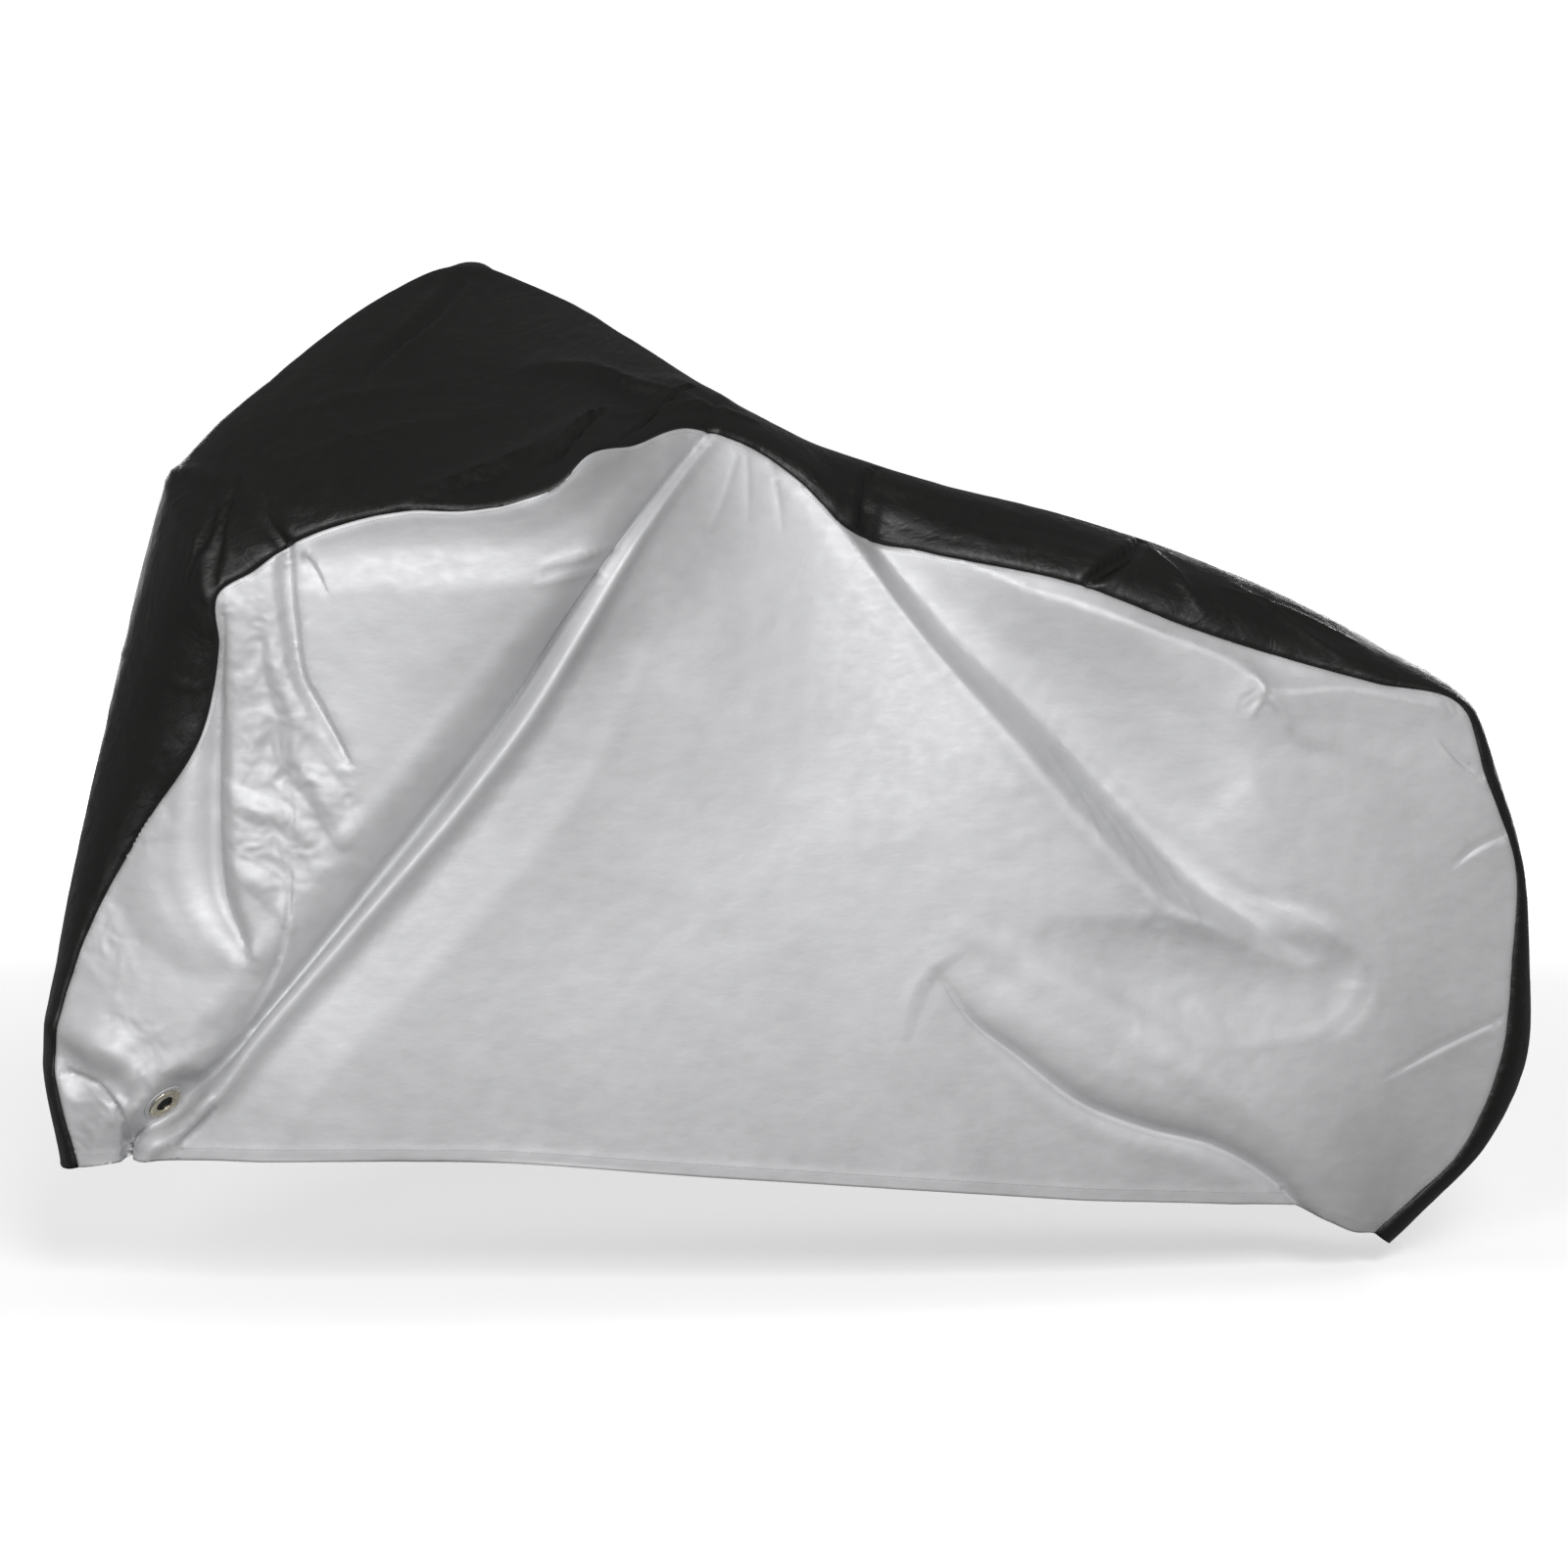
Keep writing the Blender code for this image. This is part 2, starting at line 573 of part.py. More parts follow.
def panel_sheet(side, seam, folds):
    """A light panel before its folds: points, triangles, the eyelet's frame, and the points in its plane."""
    step = PANEL_STEP[side]
    hem_rows, hem = hem_line(side, seam, HEM_STEP)
    rim = np.concatenate([seam, hem[-2:0:-1]])
    outline = rim[:, [0, 2]]
    body = columns(BODY_COLUMNS, BODY)
    support = np.concatenate([seam[::3], seam[-1:], hem_rows[1:-1]])
    flat = np.concatenate([support[:, [0, 2]], np.stack([body["x"], body["z"]], axis=1)])
    stand_out = thin_plate(flat, np.concatenate([support[:, 1] * side, body["out"]]))
    frame = eyelet_frame(side, lambda at: stand_out(at) + fold_heights(at, folds))

    rings = np.concatenate([circle(frame, PANEL_HOLE_RADIUS), circle(frame, FLAT_RADIUS)])
    kept = np.concatenate([outline, rings[:, [0, 2]], fold_points(folds, outline, step)])
    grid = lattice(outline.min(axis=0), outline.max(axis=0), step)
    inner = np.concatenate([kept[len(outline) :], spaced_out(kept, grid, LATTICE_SPACING * step)])
    held = np.arange(len(inner)) < len(rings)
    added = np.stack([inner[:, 0], side * stand_out(inner), inner[:, 1]], axis=1)
    from_rim = np.linalg.norm(inner[:, None, :] - outline[None, :, :], axis=2).min(axis=1)
    fits = inside(outline, inner) & (from_rim > LINE_SPACING * step / 2)
    fits &= onto_plane(added, frame)[1] > CLEAR_RADIUS
    inner, added, held = (row[held | fits] for row in (inner, added, held))

    faces = triangulate(outline, inner)
    hole = len(outline) + np.arange(ROUND_STEPS)
    faces = faces[~np.isin(faces, hole).all(axis=1)]
    added[held] = rings
    return np.concatenate([rim, added]), faces, frame, np.concatenate([np.zeros(len(rim), bool), held])


def facing_out(points, faces, side):
    """The panel's triangles with their fronts on its own side."""
    a, b, c = (points[faces[:, corner]] for corner in range(3))
    wrong = np.cross(b - a, c - a)[:, 1] * side < 0
    faces = faces.copy()
    faces[wrong] = faces[wrong][:, ::-1]
    return faces


def point_normals(points, faces):
    normals = np.zeros_like(points)
    a, b, c = (points[faces[:, corner]] for corner in range(3))
    face_normals = np.cross(b - a, c - a)
    for corner in range(3):
        np.add.at(normals, faces[:, corner], face_normals)
    return normals / np.linalg.norm(normals, axis=1)[:, None]


def strip_faces(rows, columns_across):
    """Triangles of the strip's grid, with their fronts outside."""
    index = np.arange(rows * columns_across).reshape(rows, columns_across)
    a, b = index[:-1, :-1].ravel(), index[1:, :-1].ravel()
    c, d = index[1:, 1:].ravel(), index[:-1, 1:].ravel()
    return np.concatenate([np.stack([a, b, c], axis=1), np.stack([a, c, d], axis=1)])


def thicken(points, faces, normals):
    """A closed solid: the sheet, its copy one cloth thickness inside, and the rims between.

    A rim's quads are split from their first outer point, so that two pieces' rims match at a seam.
    """
    count = len(points)
    solid = np.concatenate([points, points - normals * CLOTH])
    edges = np.concatenate([faces[:, [0, 1]], faces[:, [1, 2]], faces[:, [2, 0]]])
    known = {(a, b) for a, b in edges}
    walls = []
    for a, b in edges:
        if (b, a) in known:
            continue
        if a < b:
            walls += [(b, a, b + count), (a, a + count, b + count)]
        else:
            walls += [(b, a, a + count), (b, a + count, b + count)]
    return solid, np.concatenate([faces, faces[:, ::-1] + count, np.array(walls)])


def material(name, colour, roughness, metallic=0.0):
    made = bpy.data.materials.new(name)
    made.use_nodes = True
    shader = made.node_tree.nodes["Principled BSDF"]
    shader.inputs["Base Color"].default_value = colour
    shader.inputs["Roughness"].default_value = roughness
    shader.inputs["Metallic"].default_value = metallic
    return made


def add_object(name, points, faces, finish):
    mesh = bpy.data.meshes.new(name)
    mesh.from_pydata(place(points).tolist(), [], faces.tolist())
    mesh.materials.append(finish)
    mesh.shade_smooth()
    mesh.set_sharp_from_angle(angle=SHARP_ANGLE)
    obj = bpy.data.objects.new(name, mesh)
    bpy.context.scene.collection.objects.link(obj)
    return obj


def turned(frame, profile):
    """A ring turned around the eyelet's axis from a closed profile of (radius, lift) points."""
    points = np.concatenate([circle(frame, radius, lift) for radius, lift in profile])
    count = len(profile)
    index = np.arange(count * ROUND_STEPS).reshape(count, ROUND_STEPS)
    beside, above = np.roll(index, -1, axis=1), np.roll(index, -1, axis=0)
    corner = np.roll(above, -1, axis=1)
    a, b, c, d = index.ravel(), beside.ravel(), corner.ravel(), above.ravel()
    return points, np.concatenate([np.stack([a, b, c], axis=1), np.stack([a, c, d], axis=1)])


def make_eyelet(side, frame, label, cloth, metal):
    """The patch lies on the panel, and the ring's flanges hold the patch between them."""
    neck = HOLE_RADIUS + RING_WALL
    patch_top = GAP + PATCH_CLOTH
    patch = (
        (neck + GAP, GAP), (PATCH_RADIUS, GAP), (PATCH_RADIUS, patch_top), (neck + GAP, patch_top),
    )
    front, back = patch_top + GAP, 0.0
    ring = (
        (HOLE_RADIUS, back - FLANGE), (RING_BACK_RADIUS, back - FLANGE), (RING_BACK_RADIUS, back),
        (neck, back), (neck, front), (RING_RADIUS, front), (RING_RADIUS, front + FLANGE / 2),
        ((RING_RADIUS + neck) / 2, front + RING_DOME), (HOLE_RADIUS, front + FLANGE),
    )
    for name, profile, finish in (("eyelet_patch", patch, cloth), ("eyelet_ring", ring, metal)):
        points, faces = turned(frame, profile)
        add_object(f"{name}_{label}", points, faces, finish)


def main():
    for obj in list(bpy.data.objects):
        bpy.data.objects.remove(obj, do_unlink=True)
    silver = material("silver_cloth", SILVER, 0.42)
    black = material("black_cloth", BLACK, 0.75)
    metal = material("eyelet_metal", METAL, 0.30, 1.0)

    # One sheet of strip and panels, so that they share their normals and folds along the seams.
    grid = strip_grid(STRIP_STEP, STRIP_NEAR_STEPS, STRIP_FAR_STEPS)
    rows, across = grid.shape[:2]
    strip = strip_faces(rows, across)
    sheet, joined = grid.reshape(-1, 3), [strip]
    panels = []
    for side, folds, column in ((-1, NEAR_FOLDS, 0), (1, FAR_FOLDS, across - 1)):
        points, faces, frame, held = panel_sheet(side, grid[:, column], folds)
        faces = facing_out(points, faces, side)
        index = np.concatenate(
            [np.arange(rows) * across + column, len(sheet) + np.arange(len(points) - rows)]
        )
        sheet = np.concatenate([sheet, points[rows:]])
        joined.append(index[faces])
        panels.append((side, folds, frame, index, faces, held))
    normals = point_normals(sheet, np.concatenate(joined))

    heights = np.zeros(len(sheet))
    strip_heights = strip_fold_heights(grid, STRIP_STEP)
    directions = normals.copy()
    for side, folds, frame, index, faces, held in panels:
        directions[index] = straight_out(normals[index], sheet[index], frame, side)
        heights[index] = fold_heights(sheet[index][:, [0, 2]], folds)
        edge = grid[:, :1] if side < 0 else grid[:, -1:]
        distance = np.linalg.norm(grid - edge, axis=2)
        strip_heights += heights[index[:rows]][:, None] * np.exp(-((distance / SEAM_FOLD_REACH) ** 2))
    strip_heights[:, 0] = heights[panels[0][3][:rows]]
    strip_heights[:, -1] = heights[panels[1][3][:rows]]
    heights[: rows * across] = strip_heights.ravel()
    folded = sheet + directions * heights[:, None]
    for side, folds, frame, index, faces, held in panels:
        inner = index[rows:][~held[rows:]]
        folded[inner] = flatten_around(folded[inner], frame)
        folded[index[held]] = sheet[index[held]]
    normals = point_normals(folded, np.concatenate(joined))

    # Each piece ends half a gap short of the seam line.
    points = folded[: rows * across].reshape(rows, across, 3).copy()
    for side, folds, frame, index, faces, held in panels:
        seam = folded[index[:rows]]
        back = np.cross(normals[index[:rows]], np.gradient(seam, axis=0)) * side
        back *= GAP / 2 / np.linalg.norm(back, axis=1)[:, None]
        points[:, 0 if side < 0 else -1] -= back
        panel = folded[index].copy()
        panel[:rows] += back
        label = "near" if side < 0 else "far"
        solid, walls = thicken(panel, faces, normals[index])
        add_object(f"side_panel_{label}", solid, walls, silver)
        make_eyelet(side, frame, label, silver, metal)
    solid, walls = thicken(points.reshape(-1, 3), strip, normals[: rows * across])
    add_object("centre_strip", solid, walls, black)


if __name__ == "__main__":
    main()
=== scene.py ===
"""The looks of the two-tone rain cover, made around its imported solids.

The cloth repeats the tables of the solids at a finer step and adds the smaller folds, creases,
puckers and stitches. +Z is up, +X to the rear and +Y to the far side. The tables are in
millimetres, with heights above the ground, and all else is in metres. place() moves the origin to
the point where the support carries the cover.
"""

import math
from itertools import product
from types import SimpleNamespace

import bmesh
import bpy
import numpy as np
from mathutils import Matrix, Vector
from mathutils.bvhtree import BVHTree
from mathutils.geometry import delaunay_2d_cdt
from mathutils.kdtree import KDTree


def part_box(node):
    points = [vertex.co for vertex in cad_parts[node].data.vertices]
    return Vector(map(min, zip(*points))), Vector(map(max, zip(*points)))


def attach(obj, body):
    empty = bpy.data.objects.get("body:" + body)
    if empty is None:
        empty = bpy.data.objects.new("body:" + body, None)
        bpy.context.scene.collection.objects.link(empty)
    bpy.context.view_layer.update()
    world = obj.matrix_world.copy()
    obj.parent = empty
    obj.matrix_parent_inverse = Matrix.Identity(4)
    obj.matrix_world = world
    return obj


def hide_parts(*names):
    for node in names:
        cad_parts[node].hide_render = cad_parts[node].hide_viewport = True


SUPPORT_HEIGHT = 1.088
MILLIMETRES = 1000  # in a metre
GAP = 0.0003
CLOTH = 0.0009

# The two sides: -1 is near the camera and 1 is far from it.
NEAR, FAR = -1, 1
LABELS = {NEAR: "near", FAR: "far"}

# Spacing of the sheets' points.
COARSE_STEP = 0.042
STRIP_STEP = 0.0075
PANEL_STEP = {NEAR: 0.0078, FAR: 0.0105}
FINE_STEP = 0.0034
HEM_STEP = 0.0075
STRIP_NEAR_STEPS = 40
STRIP_FAR_STEPS = 34
SEAM_COLUMNS = 8  # of the strip's points beside a seam, which take its puckers
ROW_STEP = 0.0065
OWN_SPACING = 0.0018
OTHER_SPACING = 0.0030
LATTICE_SPACING = 0.62  # least distance to other points, as a share of the lattice's step
RIM_ROWS = (0.0030, 0.0065, 0.0110, 0.0165, 0.0190)
ROW_CLEARANCE = 0.9  # share of a rim row's distance that its points keep from the outline
RIM_CLEARANCE = 0.8  # share of the first rim row's distance that other points keep
CURVE_SAMPLES = 90
FOLD_SAMPLING = 0.006
STRIP_FOLD_SAMPLING = 0.004
LAST_ROW_MARGIN = 1.001  # rows, so that a place always has a row beyond it
MERGE_DISTANCE = 1e-7

# The eyelets.
HOLE_RADIUS = 0.011
RING_WALL = 0.0015
RING_RADIUS = 0.022
RING_BACK_RADIUS = 0.0185
FLANGE = 0.001
PATCH_CLOTH = 0.0015
PATCH_RADIUS = 0.027
PANEL_HOLE_RADIUS = 0.0205
FLAT_RADIUS = 0.029
CLEAR_RADIUS = 0.030
BLEND_RADIUS = 0.065
STRAIGHT_RADII = (0.050, 0.120)
ROUND_STEPS = 48
RING_MIDDLE = 0.00135
RING_RISE = 0.0024
RING_EDGE = 0.0005
RING_BACK_EDGE = 0.0004
RING_BACK_SLOPE = 0.6
RING_FLAT = 0.0008
RING_CURVE_STEPS = 9
RING_SHARP_ANGLE = 40.0
PATCH_SOFTNESS = 0.45  # roundness of the patch's rim, as a share of its thickness
PATCH_GROOVE, PATCH_GROOVE_DEPTH = 0.0006, 0.0003
PATCH_STITCH_POINTS = 160
EYELET_LEAN = {NEAR: 41.0, FAR: -70.0}
EYELET_TILT = {NEAR: 55.0, FAR: 23.0}

# The dark strip's sections, as in the solids.
SECTION_COLUMNS = (
    "seam_x", "seam_z", "seam_out", "crown_x", "crown_z", "crown_y", "far_shift", "far_lift", "roundness",
)
SECTIONS = (
    (-770, 170, 70, -792, 165, 0, 0, 0, 2.2),
    (-796, 304, 75, -811, 300, 0, 0, 0, 2.2),
    (-765, 427, 80, -791, 420, 0, 0, 0, 2.1),
    (-690, 576, 110, -762, 560, 0, 0, 0, 1.8),
    (-615, 700, 155, -731, 690, 0, 0, 0, 1.7),
    (-597, 799, 185, -706, 790, 0, 0, 0, 1.7),
    (-596, 861, 195, -678, 904, 0, 0, 5, 1.6),
    (-554, 888, 200, -650, 985, 0, 0, 20, 1.5),
    (-520, 913, 205, -605, 1038, 10, 0, 45, 1.4),
    (-453, 942, 220, -523, 1107, 60, 0, 90, 1.3),
    (-381, 957, 240, -424, 1181, 140, 10, 160, 1.2),
    (-321, 958, 260, -350, 1222, 200, 10, 220, 1.2),
    (-255, 970, 285, -285, 1238, 240, -10, 262, 1.2),
    (-205, 993, 290, -232, 1232, 230, -30, 225, 1.2),
    (-187, 1013, 280, -180, 1208, 180, -20, 165, 1.2),
    (-111, 1031, 200, -93, 1154, 80, 0, 85, 1.3),
    (-33, 1047, 120, -16, 1101, 0, 0, 20, 1.5),
    (40, 1022, 100, 59, 1059, 0, 0, 0, 1.7),
    (110, 968, 105, 125, 1026, 0, 0, 0, 1.8),
    (145, 932, 110, 165, 1012, 0, 0, 0, 1.8),
    (250, 900, 120, 283, 976, 0, 0, 0, 1.8),
    (427, 860, 130, 454, 933, 0, 0, 0, 1.8),
    (572, 804, 130, 610, 880, 0, 0, 0, 1.8),
    (795, 737, 120, 830, 776, 0, 0, 0, 1.8),
    (915, 703, 110, 944, 703, 0, 0, 0, 2.0),
    (943, 622, 110, 980, 615, 0, 0, 0, 2.0),
    (989, 499, 100, 1016, 490, 0, 0, 0, 2.0),
    (986, 389, 100, 1028, 380, 0, 0, 0, 2.0),
    (973, 253, 95, 1027, 245, 0, 0, 0, 2.0),
    (925, 142, 85, 972, 136, 0, 0, 0, 2.0),
    (816, 50, 80, 852, 27, 0, 0, 0, 2.0),
)

# The light panels' bottom edge, and how far they stand out between their edges.
HEM_COLUMNS = ("x", "z", "out", "far_lift")
HEM = (
    (-711, 180, 100, 5),
    (-574, 187, 155, 20),
    (-287, 186, 190, 40),
    (-50, 165, 200, 35),
    (240, 138, 195, 20),
    (422, 119, 180, 10),
    (610, 104, 155, 0),
    (706, 94, 140, 0),
    (744, 76, 125, 0),
    (785, 57, 100, 0),
)
BODY_COLUMNS = ("x", "z", "out")
BODY = (
    (-720, 360, 115),
    (-560, 600, 175),
    (-400, 780, 225),
    (-220, 840, 262),
    (-250, 500, 205),
    (-120, 800, 208),
    (-30, 800, 190),
    (50, 350, 205),
    (100, 650, 180),
    (350, 600, 178),
    (450, 350, 185),
    (620, 550, 160),
    (800, 350, 145),
    (850, 550, 128),
)

# The folds of the solids. line gives points with x, z and strength, and profile the height at
# places across, to the left of the line as seen from the near side.
NARROWEST = 0.4
NEAR_FOLDS = (
    {
        "name": "main trough and ridge, from the support past the eyelet",
        "profile": (
            (-90, 0), (-64, 1), (-52, -2), (-40, -7), (-28, -13), (-21, -19), (-15, -30), (-10, -41),
            (-6.5, -46), (-3.5, -42), (-1, -23), (2, -6), (5, -1), (9, 1), (14, 0), (20, -3), (28, -8),
            (38, -10), (55, -8), (85, -4), (120, 0),
        ),
        "line": (
            (10, 1065, 0.1), (-125, 910, 0.42), (-184, 817, 0.68), (-254, 711, 0.95), (-318, 628, 1.0),
            (-451, 472, 0.9), (-568, 334, 0.8), (-618, 272, 0.9), (-656, 239, 1.0), (-694, 206, 0.9),
            (-712, 165, 0.6),
        ),
    },
    {
        "name": "flank that carries the eyelet",
        "profile": ((-80, 0), (-50, 8), (-18, 2), (-1, -10), (14, 0), (30, 0)),
        "line": (
            (-568, 334, 0.0), (-618, 272, 0.8), (-656, 239, 1.0), (-694, 206, 0.9), (-712, 165, 0.5),
        ),
    },
    {
        "name": "rear trough, from the support",
        "profile": (
            (-70, 0), (-30, 2), (-8, 6), (-1, 4), (6, -2), (16, -13), (28, -27), (38, -38), (47, -43),
            (64, -43), (110, -30), (160, -12), (210, 0),
        ),
        "line": (
            (80, 1020, 0.0), (140, 935, 0.2), (238, 803, 0.6), (349, 677, 0.95), (452, 561, 1.0),
            (531, 483, 0.8), (625, 430, 0.4), (720, 385, 0.0),
        ),
    },
    {
        "name": "its narrow upper end",
        "profile": (
            (-30, 0), (-12, 2), (-4, 4), (2, 1), (18, -10), (26, -13), (34, -12), (60, -5), (90, 0),
        ),
        "line": ((60, 1045, 0.3), (92, 997, 0.9), (140, 935, 1.0), (238, 803, 0.6), (349, 677, 0.0)),
    },
    {
        "name": "round hollow beyond it",
        "profile": ((-80, 0), (-45, -7), (0, -13), (45, -9), (75, 0)),
        "line": ((400, 430, 0.2), (520, 400, 0.8), (640, 375, 1.0), (735, 370, 0.8)),
    },
    {
        "name": "low rear trough, under the rear lobe",
        "profile": (
            (-40, 0), (-10, -1), (-4, -4), (0, -10), (3, -9), (12, 3), (22, 9), (45, 14), (80, 13),
            (120, 6), (170, 0),
        ),
        "line": (
            (250, 395, 0.1), (287, 344, 0.4), (346, 297, 0.7), (426, 236, 0.9), (506, 202, 1.0),
            (595, 175, 1.0), (659, 138, 1.0), (717, 85, 0.9), (780, 20, 0.7),
        ),
    },
    {
        "name": "edge under the rear seam",
        "profile": ((-85, 0), (-40, 5), (-6, 12), (0, 13), (6, 10), (18, 3), (40, -3), (60, 0)),
        "line": (
            (290, 890, 0.3), (355, 859, 0.7), (432, 832, 0.9), (537, 794, 1.0), (617, 761, 1.0),
            (660, 732, 1.0), (760, 729, 0.8), (880, 706, 0.3),
        ),
    },
    {
        "name": "trough below the front shoulder",
        "profile": ((-50, 0), (-22, -5), (0, -8), (22, -5), (45, 0)),
        "line": (
            (-500, 893, 0.4), (-401, 911, 0.9), (-315, 918, 1.0), (-244, 924, 1.0), (-176, 959, 1.0),
            (-100, 1005, 0.6),
        ),
    },
    {
        "name": "crease below the front corner",
        "profile": (
            (-45, 0), (-27, 3), (-17, 2), (-9, -5), (-1, -14), (2, -12), (6, -1), (11, 2), (22, 2),
            (50, 0),
        ),
        "line": (
            (-517, 940, 0.8), (-515, 870, 1.0), (-510, 818, 0.9), (-500, 760, 0.8), (-477, 719, 0.7),
            (-449, 666, 0.3),
        ),
    },
    {
        "name": "front trough and ridge",
        "profile": (
            (-60, 0), (-32, 2), (-24, 0), (-14, -9), (-5, -20), (-1, -19), (4, -6), (9, 3), (20, 10),
            (42, 8), (70, 0),
        ),
        "line": (
            (-590, 830, 0.2), (-597, 711, 0.7), (-602, 600, 1.0), (-594, 499, 1.0), (-572, 450, 0.5),
        ),
    },
    {
        "name": "low front ridge and trough",
        "profile": ((-75, 0), (-52, -10), (-35, -6), (-10, 10), (5, 13), (30, 4), (50, 0)),
        "line": ((-800, 350, 0.1), (-765, 333, 0.7), (-737, 316, 1.0), (-700, 290, 0.3)),
    },
)
FAR_FOLDS = (
    {
        "name": "front trough, from the support to the front hem",
        "profile": ((-80, 0), (-30, -14), (0, -26), (30, -6), (60, 4), (100, 0)),
        "line": ((0, 1080, 0.1), (-130, 900, 0.5), (-270, 690, 1.0), (-400, 480, 0.9), (-500, 220, 0.5)),
    },
    {
        "name": "fold hanging from the far shoulder",
        "profile": ((-90, 0), (-40, 10), (0, 18), (40, 10), (90, 0)),
        "line": ((-300, 1200, 0.7), (-340, 900, 1.0), (-420, 650, 0.7), (-520, 400, 0.2)),
    },
    {
        "name": "rear trough, from the support to the rear hem",
        "profile": ((-80, 0), (-30, -8), (0, -24), (50, -12), (120, 0)),
        "line": ((60, 1060, 0.1), (200, 820, 0.7), (360, 600, 1.0), (520, 420, 0.8), (640, 250, 0.3)),
    },
    {
        "name": "low rear ridge",
        "profile": ((-90, 0), (-40, 8), (0, 14), (45, 8), (90, 0)),
        "line": ((300, 430, 0.3), (480, 320, 1.0), (640, 220, 1.0), (760, 60, 0.6)),
    },
)
# The strip's lines give the distance along the near seam, the share across and the strength.
STRIP_FOLDS = (
    {
        "name": "crease rising from the near shoulder",
        "height": 8, "width": 22,
        "line": ((1000, 0.05, 0.4), (1110, 0.13, 1.0), (1180, 0.17, 1.0), (1260, 0.2, 0.4)),
    },
    {
        "name": "crease running down to the support",
        "height": 7, "width": 30,
        "line": ((1200, 0.53, 0.5), (1310, 0.47, 1.0), (1470, 0.7, 0.6)),
    },
    {
        "name": "far shoulder",
        "height": 10, "width": 30,
        "line": ((1080, 1.95, 1.0), (1120, 1.98, 1.0)),
    },
    {
        "name": "hollow above the rear seam",
        "height": -8, "width": 30,
        "line": ((1600, 0.45, 0.2), (1720, 0.4, 1.0), (1880, 0.35, 1.0), (2000, 0.3, 0.3)),
    },
)
SEAM_FOLD_REACH = 0.06

# Small creases, as rows of form, height, half width and line. A form's places run from -1 to 1
# across the line, positive to its left.
FORMS = {
    "round": ((-1.0, 0.0), (-0.5, 0.6), (0.0, 1.0), (0.5, 0.6), (1.0, 0.0)),
    "ridge": ((-1.0, 0.0), (-0.4, 0.25), (0.0, 1.0), (0.4, 0.25), (1.0, 0.0)),
    "crease": (
        (-1.0, 0.0), (-0.5, 0.05), (-0.12, -1.0), (0.0, -0.7), (0.12, 0.25), (0.3, 0.45), (0.6, 0.2),
        (1.0, 0.0),
    ),
    "edge": ((-1.0, 0.0), (-0.25, 0.1), (0.0, 1.0), (0.4, 0.7), (1.0, 0.0)),
    "step": ((-1.0, 0.0), (-0.5, -0.6), (-0.18, -1.0), (0.18, 0.5), (0.45, 0.45), (1.0, 0.0)),
}
